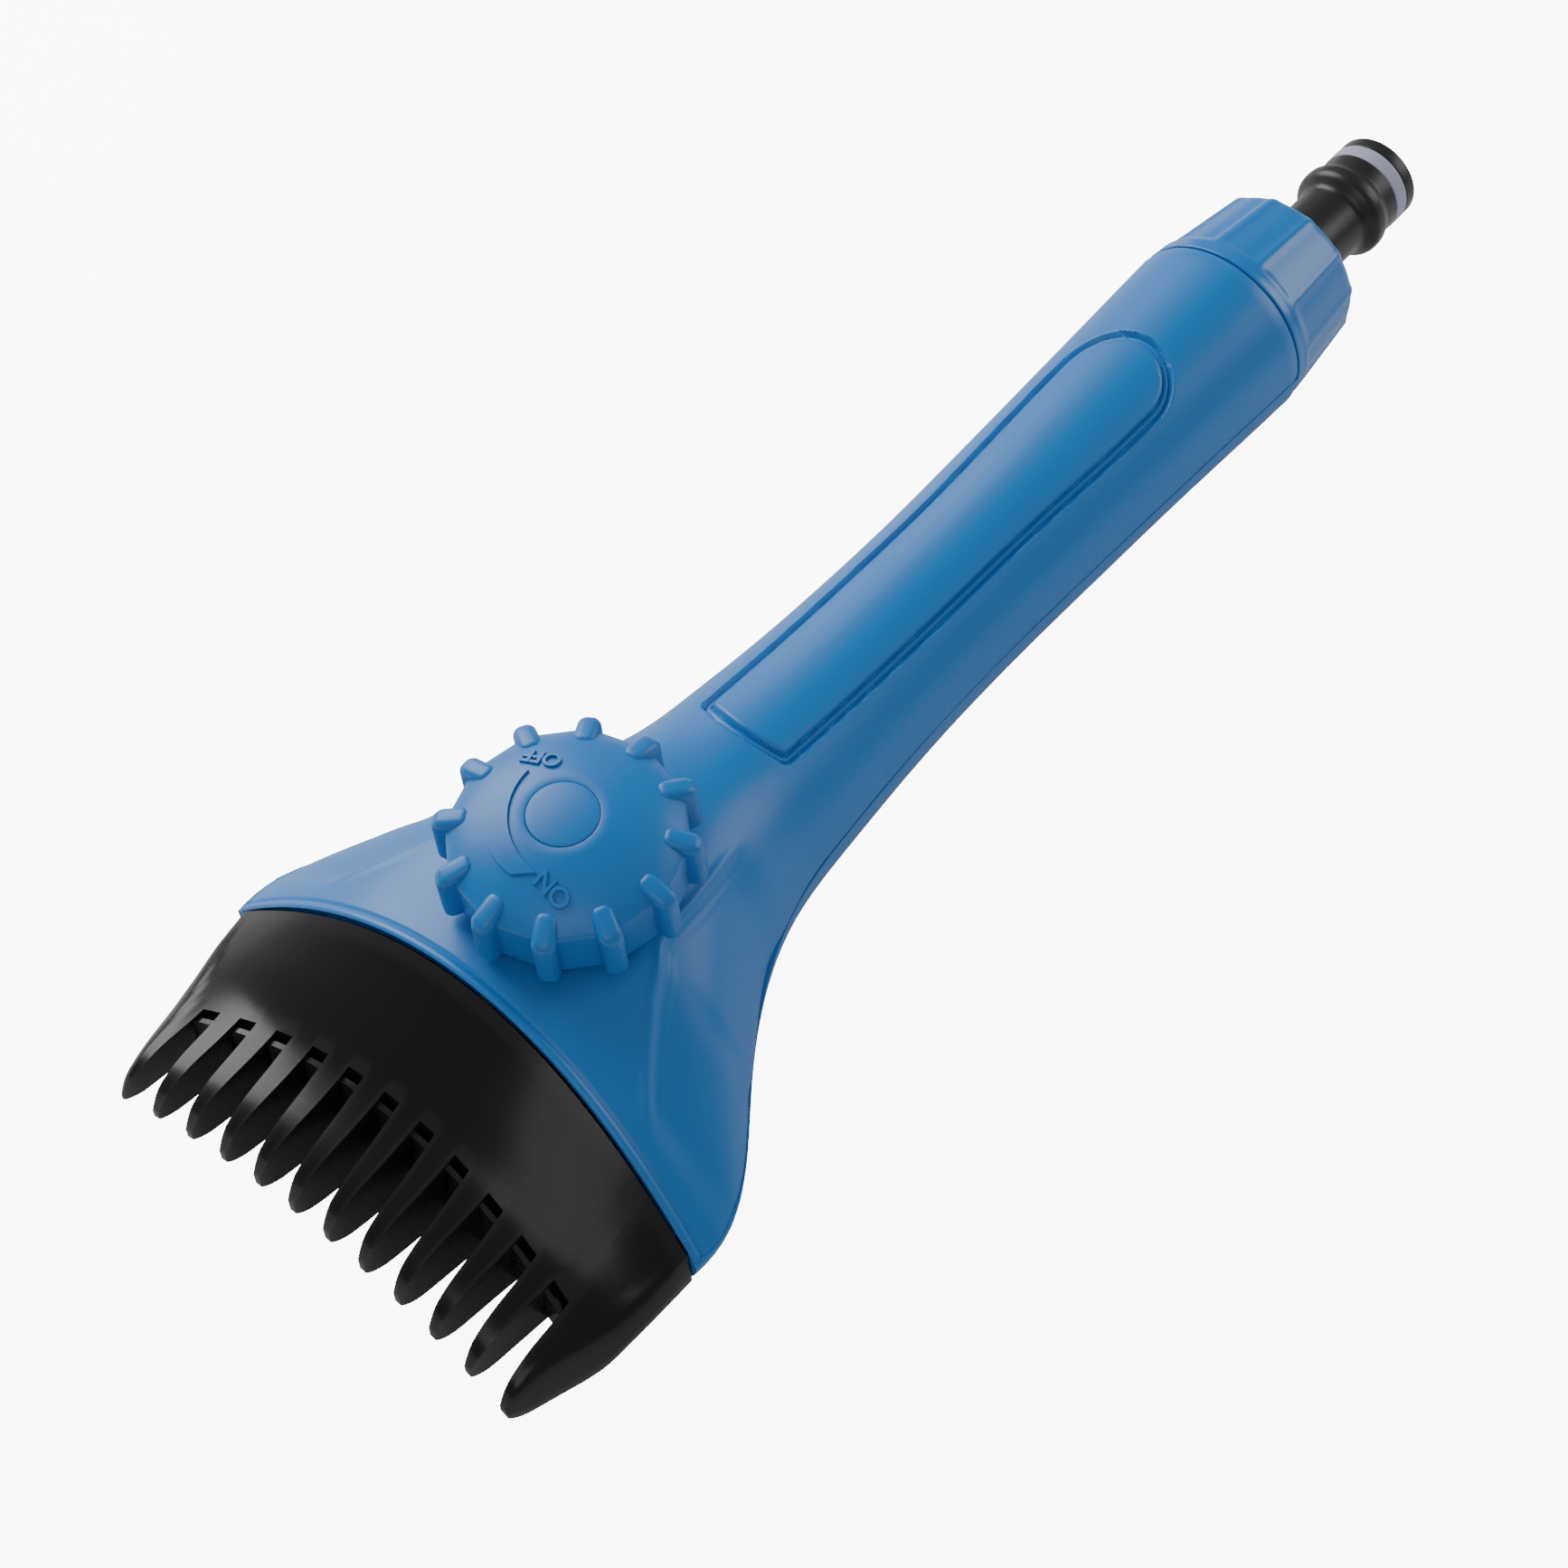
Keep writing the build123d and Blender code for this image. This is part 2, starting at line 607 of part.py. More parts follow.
with BuildPart() as valve_spindle:
    edge = [(0, plug_bottom), (plug_r, plug_bottom), (plug_r, plug_top), (stem_r, plug_top)]
    for h in reversed(stem_rings):
        edge += [(stem_r, h - 0.7), (stem_r - 1.15, h - 0.7), (stem_r - 1.15, h + 0.7), (stem_r, h + 0.7)]
    edge += [(stem_r, drive_bottom), (0, drive_bottom)]
    revolve(profile(edge, knob_side), axis=knob_axis)
    with BuildSketch(knob_plane.offset(drive_bottom)):
        Rectangle(drive, drive)
    extrude(amount=drive_top - drive_bottom)
    with BuildSketch(Plane(origin=knob_plane.from_local_coords((0, 0, -port_depth)), x_dir=(cos(tilt), 0, sin(tilt)),
                           z_dir=(0, 1, 0))):
        Circle(port_r)
    extrude(amount=plug_r + 1, both=True, mode=Mode.SUBTRACT)
    with BuildSketch(knob_plane.offset(drive_top)):
        Circle(screw_r + slip)
    extrude(amount=-8.0, mode=Mode.SUBTRACT)
valve_spindle.part.label = "valve_spindle"

with BuildPart() as spindle_o_rings:
    for h in stem_rings:
        revolve(ring_profile((stem_r - cord_r, h), cord_r, knob_side), axis=knob_axis)
spindle_o_rings.part.label = "spindle_o_rings"

# ---------------------------------------------------------------- knob
dome_r = 30.3
hub_r, hub_bottom = 5.4, -10.4
cap_seat = 3.0


def dome_height(r):
    """Height of the knob's dome at radius r."""
    return knob_dome - dome_r + (dome_r**2 - r**2) ** 0.5


with BuildPart() as knob:
    with BuildSketch(knob_side):
        with BuildLine():
            Line((0, hub_bottom), (0, knob_dome))
            RadiusArc((0, knob_dome), (knob_r, dome_height(knob_r)), dome_r)
            Polyline((knob_r, dome_height(knob_r)), (knob_r, -knob_skirt), (knob_r - 1.9, -knob_skirt),
                     (knob_r - 1.9, -3.4), (hub_r, 0.8), (hub_r, hub_bottom), (0, hub_bottom))
        make_face()
    revolve(axis=knob_axis)
    # Grip ribs
    with BuildSketch(knob_plane.offset(-knob_skirt)):
        with PolarLocations(16.7, knob_rib_count, start_angle=knob_rib_first):
            SlotOverall(5.4, 3.2)
        Circle(knob_r - 1.0, mode=Mode.SUBTRACT)
    extrude(amount=knob_skirt + 0.2)
    with BuildSketch(knob_plane.offset(-2.4)):
        with PolarLocations(16.7, knob_rib_count, start_angle=knob_rib_first):
            SlotOverall(5.4, 3.2)
    extrude(amount=2.6)
    # Seat of the cap, screw well and drive socket
    with BuildSketch(knob_plane.offset(cap_seat)):
        Circle(knob_cap_r + slip)
    extrude(amount=4, mode=Mode.SUBTRACT)
    with BuildSketch(knob_plane.offset(-0.4)):
        Circle(3.1)
    extrude(amount=5, mode=Mode.SUBTRACT)
    with BuildSketch(knob_plane.offset(-6)):
        Circle(screw_r + 0.2)
    extrude(amount=6, mode=Mode.SUBTRACT)
    with BuildSketch(knob_plane.offset(hub_bottom)):
        Rectangle(drive + 2 * slip, drive + 2 * slip)
    extrude(amount=drive_top + slip - hub_bottom, mode=Mode.SUBTRACT)
knob.part.label = "knob"

with BuildPart() as knob_cap:
    with BuildSketch(knob_side):
        with BuildLine():
            Line((0, cap_seat + slip), (0, knob_dome))
            RadiusArc((0, knob_dome), (knob_cap_r, dome_height(knob_cap_r)), dome_r)
            Polyline((knob_cap_r, dome_height(knob_cap_r)), (knob_cap_r, cap_seat + slip), (0, cap_seat + slip))
        make_face()
    revolve(axis=knob_axis)
knob_cap.part.label = "knob_cap"

with BuildPart() as knob_screw:
    with BuildSketch(knob_plane.offset(-0.35)):
        Circle(screw_head_r)
    extrude(amount=2.2)
    with BuildSketch(knob_plane.offset(-0.35)):
        Circle(screw_r)
    extrude(amount=-10.5)
    with BuildSketch(knob_plane.offset(1.0)):
        Rectangle(3.2, 0.8)
        Rectangle(0.8, 3.2)
    extrude(amount=2.0, mode=Mode.SUBTRACT)
knob_screw.part.label = "knob_screw"

# ---------------------------------------------------------------- hose connection
with BuildPart() as inlet_nipple:
    revolve(profile([(thread_start, water_r), (thread_start, thread_r), (50.7, thread_r), (50.7, 13.6), (56.0, 13.6),
                     (56.0, 9.2), (70.0, 9.2), (70.0, tube_r + slip), (58.4, tube_r + slip), (58.4, water_r)]),
            axis=long_axis)
    # Recess of the screen
    revolve(profile([(thread_start, 0), (thread_start + 1.2, 0), (thread_start + 1.2, 7.6), (thread_start, 7.6)]),
            axis=long_axis, mode=Mode.SUBTRACT)
inlet_nipple.part.label = "inlet_nipple"

with BuildPart() as inlet_screen:
    with BuildSketch(cross_plane(thread_start + 1.15)):
        Circle(7.55)
        with HexLocations(0.85, 4, 4):
            Circle(0.55, mode=Mode.SUBTRACT)
    extrude(amount=1.0)
inlet_screen.part.label = "inlet_screen"

with BuildPart() as spigot_washer:
    revolve(profile([(flange_end + 0.05, 5.6), (thread_start - 0.1, 5.6), (thread_start - 0.1, flange_r - 0.2),
                     (flange_end + 0.05, flange_r - 0.2)]), axis=long_axis)
spigot_washer.part.label = "spigot_washer"

# Quick-connect spigot: sealing nose, catch bead, neck and the flange held by the nut
seal_groove_r = 6.3
with BuildPart() as hose_spigot:
    revolve(profile([(0.0, water_r), (0.0, spigot_r - 0.6), (0.6, spigot_r), (seal_start, spigot_r),
                     (seal_start, seal_groove_r), (seal_end, seal_groove_r), (seal_end, spigot_r),
                     (bead_start, spigot_r), (bead_start + 1.0, bead_r), (bead_end - 1.4, bead_r),
                     (bead_end, spigot_neck_r), (flange_start, spigot_neck_r), (flange_start, flange_r),
                     (flange_end, flange_r), (flange_end, water_r)]), axis=long_axis)
hose_spigot.part.label = "hose_spigot"

with BuildPart() as spigot_seal:
    revolve(profile([(seal_start, seal_groove_r + 0.02), (seal_start, spigot_r), (seal_end, spigot_r),
                     (seal_end, seal_groove_r + 0.02)]), axis=long_axis)
spigot_seal.part.label = "spigot_seal"

with BuildPart() as collar_nut:
    with BuildSketch(long_plane):
        with BuildLine():
            Polyline((collar_end, thread_r + gap), (collar_end, collar_r), (collar_end - collar_band, collar_r - 0.3),
                     (collar_start + front_round, collar_front_r))
            ThreePointArc((collar_start + front_round, collar_front_r),
                          (collar_start + 0.3 * front_round, collar_front_r - 0.3 * front_round),
                          (collar_start, collar_front_r - front_round))
            Polyline((collar_start, collar_front_r - front_round), (collar_start, spigot_neck_r + gap),
                     (flange_start - 0.1, spigot_neck_r + gap), (flange_start - 0.1, thread_r + gap),
                     (collar_end, thread_r + gap))
        make_face()
    revolve(axis=long_axis)
    # Shallow flutes leave a narrow rib between them
    for flute in range(flute_count):
        angle = radians(360.0 / flute_count * flute)
        with BuildPart(mode=Mode.SUBTRACT):
            for d, surface_r in ((collar_end - collar_band, collar_r - 0.3), (collar_start - 1.0, collar_front_r - 0.1)):
                reach = surface_r + flute_r - flute_depth
                with BuildSketch(cross_plane(d)):
                    with Locations((reach * cos(angle), reach * sin(angle))):
                        Circle(flute_r)
            loft()
collar_nut.part.label = "collar_nut"

# ---------------------------------------------------------------- written pieces
pieces = [
    handle_upper_shell, handle_lower_shell, handle_screws,
    comb_upper_shell, comb_lower_shell, comb_gasket, comb_screws, head_screws, diffuser_plate,
    inlet_tube, inlet_tube_o_rings, outlet_tube, outlet_tube_o_rings,
    valve_body, valve_body_screws, valve_seats, valve_bottom_cap, valve_cap_o_ring, thrust_washer,
    valve_spindle, spindle_o_rings, knob, knob_cap, knob_screw,
    inlet_nipple, inlet_screen, spigot_washer, hose_spigot, spigot_seal, collar_nut,
]
os.makedirs("parts", exist_ok=True)
for piece in pieces:
    export_step(piece.part, f"parts/{piece.part.label}.step")
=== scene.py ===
"""Hose-fed comb wand: the finished look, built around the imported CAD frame."""

import json
import logging
from dataclasses import dataclass
from enum import Enum
from math import atan2, cos, hypot, pi, radians, sin, sqrt
from typing import Callable, Dict, List, Sequence, Tuple

import bmesh
import bpy
from mathutils import Matrix, Vector


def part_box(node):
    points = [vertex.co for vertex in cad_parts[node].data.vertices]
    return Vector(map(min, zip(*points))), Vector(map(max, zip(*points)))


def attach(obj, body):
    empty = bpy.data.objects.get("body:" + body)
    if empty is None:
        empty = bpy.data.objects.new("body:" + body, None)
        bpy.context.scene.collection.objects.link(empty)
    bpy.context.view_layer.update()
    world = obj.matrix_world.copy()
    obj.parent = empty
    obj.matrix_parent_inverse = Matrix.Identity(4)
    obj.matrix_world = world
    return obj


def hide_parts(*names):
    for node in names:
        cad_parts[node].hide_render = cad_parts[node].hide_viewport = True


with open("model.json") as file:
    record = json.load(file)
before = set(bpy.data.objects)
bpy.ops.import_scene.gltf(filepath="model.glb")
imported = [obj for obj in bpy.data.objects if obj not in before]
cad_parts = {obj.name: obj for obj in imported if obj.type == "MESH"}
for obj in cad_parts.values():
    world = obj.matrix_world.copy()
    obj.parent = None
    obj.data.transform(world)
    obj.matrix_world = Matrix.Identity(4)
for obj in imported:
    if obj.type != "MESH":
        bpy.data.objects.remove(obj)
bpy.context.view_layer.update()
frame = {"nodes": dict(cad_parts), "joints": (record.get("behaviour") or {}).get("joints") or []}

LOG = logging.getLogger("comb_wand")
MM = 0.001

Station = Tuple[float, ...]


# ------------------------------------------------------------------ small mathematics
def smooth_step(low: float, high: float, value: float) -> float:
    """Rise smoothly from 0 at low to 1 at high.

    Args:
        low: Value where the rise starts.
        high: Value where the rise ends.
        value: Where to read the rise.

    Returns:
        A share from 0 to 1.
    """
    share = min(1.0, max(0.0, (value - low) / (high - low)))
    return share * share * (3.0 - 2.0 * share)


def bell(value: float, half_width: float) -> float:
    """Give a round-topped hump of height 1 that ends at plus or minus half_width."""
    if abs(value) >= half_width:
        return 0.0
    return 0.5 + 0.5 * cos(pi * value / half_width)


class Track:
    """Smooth curve through a few stations along the wand."""

    def __init__(self, stations: Sequence[Station]) -> None:
        """Keep the stations, the first number of each being its distance d."""
        self.stations = list(stations)

    def _slope(self, index: int, column: int) -> float:
        """Slope of one column at one station."""
        low = self.stations[max(0, index - 1)]
        high = self.stations[min(len(self.stations) - 1, index + 1)]
        return (high[column] - low[column]) / (high[0] - low[0])

    def at(self, d: float) -> List[float]:
        """Read every column at distance d.

        Args:
            d: Distance from the hose end, mm.

        Returns:
            The columns after the first, interpolated.
        """
        last = len(self.stations) - 2
        index = 0
        while index < last and d > self.stations[index + 1][0]:
            index += 1
        near, far = self.stations[index], self.stations[index + 1]
        span = far[0] - near[0]
        t = min(1.0, max(0.0, (d - near[0]) / span))
        values = []
        for column in range(1, len(near)):
            rise_near = self._slope(index, column) * span
            rise_far = self._slope(index + 1, column) * span
            value = (2 * t**3 - 3 * t**2 + 1) * near[column] + (t**3 - 2 * t**2 + t) * rise_near
            value += (3 * t**2 - 2 * t**3) * far[column] + (t**3 - t**2) * rise_far
            values.append(value)
        return values


def graded(
    start: float, end: float, coarse: float, zones: Sequence[Tuple[float, float, float]]
) -> List[float]:
    """Space positions evenly, but closer together inside the given zones.

    Args:
        start: First position.
        end: Last position.
        coarse: Usual spacing.
        zones: (low, high, spacing) of each finer stretch.

    Returns:
        Positions from start to end.
    """
    positions = [start]
    while positions[-1] < end:
        here = positions[-1]
        step = coarse
        for low, high, spacing in zones:
            margin = max(low - here, here - high, 0.0)
            step = min(step, spacing + 0.35 * margin)
        positions.append(here + step)
    scale = (end - start) / (positions[-1] - start)
    return [start + (p - start) * scale for p in positions]


# ------------------------------------------------------------------ the frame's own measures
@dataclass(frozen=True)
class Layout:
    """Where the CAD frame puts the wand: distances in mm become points in metres."""

    hose_x: float
    axis_z: float
    knob_origin: Vector
    knob_axis: Vector

    def point(self, d: float, y: float, height: float) -> Vector:
        """Place a point.

        Args:
            d: Distance back from the hose end, mm.
            y: Distance to the side, mm.
            height: Height over the handle's axis, mm.

        Returns:
            The point in the row frame, metres.
        """
        return Vector((self.hose_x - d * MM, y * MM, self.axis_z + height * MM))

    def knob_matrix(self) -> Matrix:
        """Turn knob-local millimetres (x, y, height along the axis) into the row frame."""
        up = self.knob_axis.normalized()
        side = Vector((0.0, 1.0, 0.0))
        along = side.cross(up).normalized()
        basis = Matrix((along, side, up)).transposed().to_4x4()
        return Matrix.Translation(self.knob_origin) @ basis @ Matrix.Scale(MM, 4)


def read_layout() -> Layout:
    """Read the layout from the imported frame."""
    low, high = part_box("hose_spigot")
    joint = next(j for j in frame["joints"] if j["name"] == "knob_turn")
    return Layout(high.x, (low.z + high.z) / 2, Vector(joint["pos_m"]), Vector(joint["axis"]))


# ------------------------------------------------------------------ finishes
class Effect(Enum):
    """Shared shader groups."""

    GRAIN = "FineGrain"
    TONE = "MouldTone"
    EDGE = "PaintedEdgeHighlight"


def new_group(name: str, inputs: Dict[str, float], outputs: Dict[str, str]) -> bpy.types.ShaderNodeTree:
    """Start a shader group with named sockets.

    Args:
        name: Name of the group.
        inputs: Number inputs and their defaults.
        outputs: Output names and socket types.

    Returns:
        The empty group.
    """
    tree = bpy.data.node_groups.new(name, "ShaderNodeTree")
    for label, default in inputs.items():
        socket = tree.interface.new_socket(label, in_out="INPUT", socket_type="NodeSocketFloat")
        socket.default_value = default
    for label, kind in outputs.items():
        tree.interface.new_socket(label, in_out="OUTPUT", socket_type=kind)
    return tree


def build_grain() -> bpy.types.ShaderNodeTree:
    """Make the fine moulding texture: a height and a roughness offset."""
    tree = new_group(
        Effect.GRAIN.value,
        {"Scale": 900.0, "Roughness": 0.4, "Spread": 0.06},
        {"Height": "NodeSocketFloat", "Roughness": "NodeSocketFloat"},
    )
    nodes, links = tree.nodes, tree.links
    enter, leave = nodes.new("NodeGroupInput"), nodes.new("NodeGroupOutput")
    coords = nodes.new("ShaderNodeTexCoord")
    fine = nodes.new("ShaderNodeTexNoise")
    fine.inputs["Detail"].default_value = 3.0
    broad = nodes.new("ShaderNodeTexNoise")
    broad.inputs["Scale"].default_value = 45.0
    broad.inputs["Detail"].default_value = 4.0
    links.new(coords.outputs["Object"], fine.inputs["Vector"])
    links.new(coords.outputs["Object"], broad.inputs["Vector"])
    links.new(enter.outputs["Scale"], fine.inputs["Scale"])
    centred = nodes.new("ShaderNodeMath")
    centred.operation = "SUBTRACT"
    centred.inputs[1].default_value = 0.5
    links.new(broad.outputs["Fac"], centred.inputs[0])
    rough = nodes.new("ShaderNodeMath")
    rough.operation = "MULTIPLY_ADD"
    links.new(centred.outputs[0], rough.inputs[0])
    links.new(enter.outputs["Spread"], rough.inputs[1])
    links.new(enter.outputs["Roughness"], rough.inputs[2])
    links.new(fine.outputs["Fac"], leave.inputs["Height"])
    links.new(rough.outputs[0], leave.inputs["Roughness"])
    return tree


def build_tone() -> bpy.types.ShaderNodeTree:
    """Make the slow drift of colour in a moulded part: a mask from 0 to 1."""
    tree = new_group(Effect.TONE.value, {"Scale": 14.0}, {"Mask": "NodeSocketFloat"})
    nodes, links = tree.nodes, tree.links
    enter, leave = nodes.new("NodeGroupInput"), nodes.new("NodeGroupOutput")
    coords = nodes.new("ShaderNodeTexCoord")
    cloud = nodes.new("ShaderNodeTexNoise")
    cloud.inputs["Detail"].default_value = 2.0
    links.new(coords.outputs["Object"], cloud.inputs["Vector"])
    links.new(enter.outputs["Scale"], cloud.inputs["Scale"])
    links.new(cloud.outputs["Fac"], leave.inputs["Mask"])
    return tree


def build_edge() -> bpy.types.ShaderNodeTree:
    """Make the mask of raised edges, where the colour gets a painted highlight."""
    tree = new_group(Effect.EDGE.value, {"Amount": 1.0}, {"Mask": "NodeSocketFloat"})
    nodes, links = tree.nodes, tree.links
    enter, leave = nodes.new("NodeGroupInput"), nodes.new("NodeGroupOutput")
    geometry = nodes.new("ShaderNodeNewGeometry")
    sharpen = nodes.new("ShaderNodeMapRange")
    sharpen.inputs["From Min"].default_value = 0.52
    sharpen.inputs["From Max"].default_value = 0.62
    scale = nodes.new("ShaderNodeMath")
    scale.operation = "MULTIPLY"
    links.new(geometry.outputs["Pointiness"], sharpen.inputs["Value"])
    links.new(sharpen.outputs["Result"], scale.inputs[0])
    links.new(enter.outputs["Amount"], scale.inputs[1])
    links.new(scale.outputs[0], leave.inputs["Mask"])
    return tree


@dataclass(frozen=True)
class Finish:
    """One moulded, rubber or metal finish."""

    name: str
    colour: Tuple[float, float, float]
    drift: Tuple[float, float, float]
    roughness: float
    spread: float = 0.06
    metallic: float = 0.0
    specular: float = 0.5
    coat: float = 0.0
    grain_scale: float = 900.0
    grain_depth: float = 0.03
    # Strength of the painted highlight that lightens raised edges.
    edge: float = 0.12

    def material(self) -> bpy.types.Material:
        """Build the material, or return it if it is there already."""
        found = bpy.data.materials.get(self.name)
        if found:
            return found
        material = bpy.data.materials.new(self.name)
        material.use_nodes = True
        nodes, links = material.node_tree.nodes, material.node_tree.links
        shader = nodes["Principled BSDF"]
        grain = self._group(nodes, Effect.GRAIN)
        grain.inputs["Scale"].default_value = self.grain_scale
        grain.inputs["Roughness"].default_value = self.roughness
        grain.inputs["Spread"].default_value = self.spread
        tone = self._group(nodes, Effect.TONE)
        edge = self._group(nodes, Effect.EDGE)
        edge.inputs["Amount"].default_value = self.edge
        body = self._mix(nodes, self.colour, self.drift)
        links.new(tone.outputs["Mask"], body.inputs["Factor"])
        # Painted highlight: a lighter copy of the colour laid on raised edges by the edge mask.
        edge_highlight_mix = self._mix(nodes, self.colour, tuple(min(1.0, c * 1.6 + 0.03) for c in self.colour))
        links.new(edge.outputs["Mask"], edge_highlight_mix.inputs["Factor"])
        links.new(body.outputs["Result"], edge_highlight_mix.inputs["A"])
        bump = nodes.new("ShaderNodeBump")
        bump.inputs["Strength"].default_value = self.grain_depth
        bump.inputs["Distance"].default_value = 0.0002
        links.new(grain.outputs["Height"], bump.inputs["Height"])
        links.new(edge_highlight_mix.outputs["Result"], shader.inputs["Base Color"])
        links.new(grain.outputs["Roughness"], shader.inputs["Roughness"])
        links.new(bump.outputs["Normal"], shader.inputs["Normal"])
        shader.inputs["Metallic"].default_value = self.metallic
        shader.inputs["Specular IOR Level"].default_value = self.specular
        shader.inputs["Coat Weight"].default_value = self.coat
        material.diffuse_color = (*self.colour, 1.0)
        return material

    @staticmethod
    def _group(nodes: bpy.types.Nodes, effect: Effect) -> bpy.types.ShaderNodeGroup:
        """Place a shared group in the material."""
        node = nodes.new("ShaderNodeGroup")
        node.node_tree = bpy.data.node_groups[effect.value]
        return node

    @staticmethod
    def _mix(nodes: bpy.types.Nodes, low: Sequence[float], high: Sequence[float]) -> "MixSockets":
        """Place a colour mix with its two ends set."""
        node = nodes.new("ShaderNodeMix")
        node.data_type = "RGBA"
        colours = [socket for socket in node.inputs if socket.type == "RGBA"]
        colours[0].default_value = (*low, 1.0)
        colours[1].default_value = (*high, 1.0)
        result = next(socket for socket in node.outputs if socket.type == "RGBA")
        return MixSockets({"Factor": node.inputs[0], "A": colours[0], "B": colours[1]}, {"Result": result})


@dataclass(frozen=True)
class MixSockets:
    """The colour sockets of a mix node, by plain names."""

    inputs: Dict[str, bpy.types.NodeSocket]
    outputs: Dict[str, bpy.types.NodeSocket]


BLUE = Finish("blue_plastic", (0.008, 0.150, 0.455), (0.010, 0.165, 0.48), 0.38, 0.08, specular=0.42)
BLUE_KNOB = Finish(
    "blue_knob_plastic", (0.008, 0.146, 0.45), (0.010, 0.160, 0.475), 0.38, 0.08, specular=0.42
)
BLUE_COLLAR = Finish("blue_collar_plastic", (0.008, 0.150, 0.46), (0.010, 0.165, 0.485), 0.26, 0.06)
BLACK_COMB = Finish(
    "black_comb_plastic", (0.0035, 0.0035, 0.0037), (0.005, 0.005, 0.0052), 0.24, 0.06,
    specular=0.3, edge=0.2,
)
BLACK_FITTING = Finish(
    "black_fitting_plastic", (0.008, 0.008, 0.008), (0.011, 0.011, 0.011), 0.36, 0.08,
    specular=0.4, edge=0.2,
)
PALE_SEAL = Finish("pale_seal_rubber", (0.30, 0.30, 0.40), (0.34, 0.34, 0.44), 0.55, 0.05)
DARK_RUBBER = Finish("dark_rubber", (0.014, 0.014, 0.014), (0.02, 0.02, 0.02), 0.62, 0.05)
GREY_ACETAL = Finish("grey_acetal", (0.13, 0.135, 0.14), (0.15, 0.155, 0.16), 0.42)
WHITE_ACETAL = Finish("white_acetal", (0.62, 0.62, 0.60), (0.68, 0.68, 0.66), 0.38)
STEEL = Finish("plain_steel", (0.52, 0.52, 0.53), (0.60, 0.60, 0.61), 0.28, 0.12, metallic=1.0)
PALE_FLOOR = Finish(
    "pale_floor", (0.80, 0.80, 0.80), (0.82, 0.82, 0.82), 0.6, 0.02, grain_depth=0.0, edge=0.0
)

CAD_FINISHES: Tuple[Tuple[Finish, Tuple[str, ...]], ...] = (
    (BLUE, ("handle_lower_shell",)),
    (STEEL, ("handle_screws", "comb_screws", "head_screws", "valve_body_screws", "knob_screw",
             "inlet_screen")),
    (DARK_RUBBER, ("comb_gasket", "inlet_tube_o_rings", "outlet_tube_o_rings", "valve_cap_o_ring",
                   "spindle_o_rings", "spigot_washer")),
    (PALE_SEAL, ("valve_seats",)),
    (GREY_ACETAL, ("valve_body", "valve_bottom_cap", "inlet_nipple")),
    (WHITE_ACETAL, ("inlet_tube", "outlet_tube", "diffuser_plate", "thrust_washer", "valve_spindle")),
)


# ------------------------------------------------------------------ making pieces
@dataclass(frozen=True)
class Role:
    """What a finished piece is to the frame."""

    name: str
    body: str
    slot: str
    nodes: Tuple[str, ...]
    finish: Finish


def finish_piece(shape: bmesh.types.BMesh, role: Role, crease: float) -> None:
    """Turn a bmesh into a dressed object that rides on its body.

    Args:
        shape: The piece in the row frame, metres. It is freed.
        role: Its name, body, slot, CAD nodes and finish.
        crease: Edges sharper than this many degrees stay hard.
    """
    shape.normal_update()
    for face in shape.faces:
        face.smooth = True
    for edge in shape.edges:
        if len(edge.link_faces) == 2 and edge.calc_face_angle() > radians(crease):
            edge.smooth = False
    mesh = bpy.data.meshes.new(role.name)
    shape.to_mesh(mesh)
    shape.free()
    mesh.materials.append(role.finish.material())
    piece = bpy.data.objects.new(role.name, mesh)
    bpy.context.scene.collection.objects.link(piece)
    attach(piece, role.body)
    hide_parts(*role.nodes)
    LOG.info("%s: %d faces on %s", role.name, len(mesh.polygons), role.body)


def grid_sheet(rows: int, columns: int, place: Callable[[int, int], Vector]) -> bmesh.types.BMesh:
    """Make a grid and carry each corner to its place.

    Args:
        rows: Number of positions in the first direction.
        columns: Number of positions in the second direction.
        place: Gives the point for a row and a column.

    Returns:
        The bent sheet.
    """
    shape = bmesh.new()
    bmesh.ops.create_grid(shape, x_segments=rows - 1, y_segments=columns - 1, size=1.0)
    for vertex in shape.verts:
        row = round((vertex.co.x + 1) / 2 * (rows - 1))
        column = round((vertex.co.y + 1) / 2 * (columns - 1))
        vertex.co = place(row, column)
    return shape


def lathe(outline: Sequence[Tuple[float, float]], matrix: Matrix, steps: int = 160) -> bmesh.types.BMesh:
    """Spin an outline into a closed turned piece.

    Args:
        outline: Closed run of (radius, height) corners, mm.
        matrix: Takes local millimetres, with height along Z, to the row frame.
        steps: Segments around.

    Returns:
        The turned solid.
    """
    shape = bmesh.new()
    corners = [shape.verts.new((radius, 0.0, height)) for radius, height in outline]
    edges = [shape.edges.new((a, b)) for a, b in zip(corners, corners[1:] + corners[:1])]
    bmesh.ops.spin(
        shape, geom=corners + edges, cent=(0, 0, 0), axis=(0, 0, 1), angle=2 * pi, steps=steps, use_merge=True
    )
    bmesh.ops.remove_doubles(shape, verts=shape.verts, dist=1e-5)
    bmesh.ops.transform(shape, matrix=matrix, verts=shape.verts)
    bmesh.ops.recalc_face_normals(shape, faces=shape.faces)
    return shape


def rounded(points: Sequence[Tuple[float, float, float]], steps: int = 5) -> List[Tuple[float, float]]:
    """Round the corners of a closed outline.

    Args:
        points: (radius from the axis, height, corner radius), mm.
        steps: Points on each round corner.

    Returns:
        The corners with arcs put in.
    """
    result: List[Tuple[float, float]] = []
    count = len(points)
    for index, (x, y, size) in enumerate(points):
        here = Vector((x, y))
        if size <= 0:
            result.append((x, y))
            continue
        before = Vector(points[index - 1][:2]) - here
        after = Vector(points[(index + 1) % count][:2]) - here
        reach = min(size, before.length * 0.45, after.length * 0.45)
        start, end = here + before.normalized() * reach, here + after.normalized() * reach
        for step in range(steps + 1):
            t = step / steps
            spot = start * (1 - t) ** 2 + here * 2 * t * (1 - t) + end * t**2
            result.append((spot.x, spot.y))
    return result


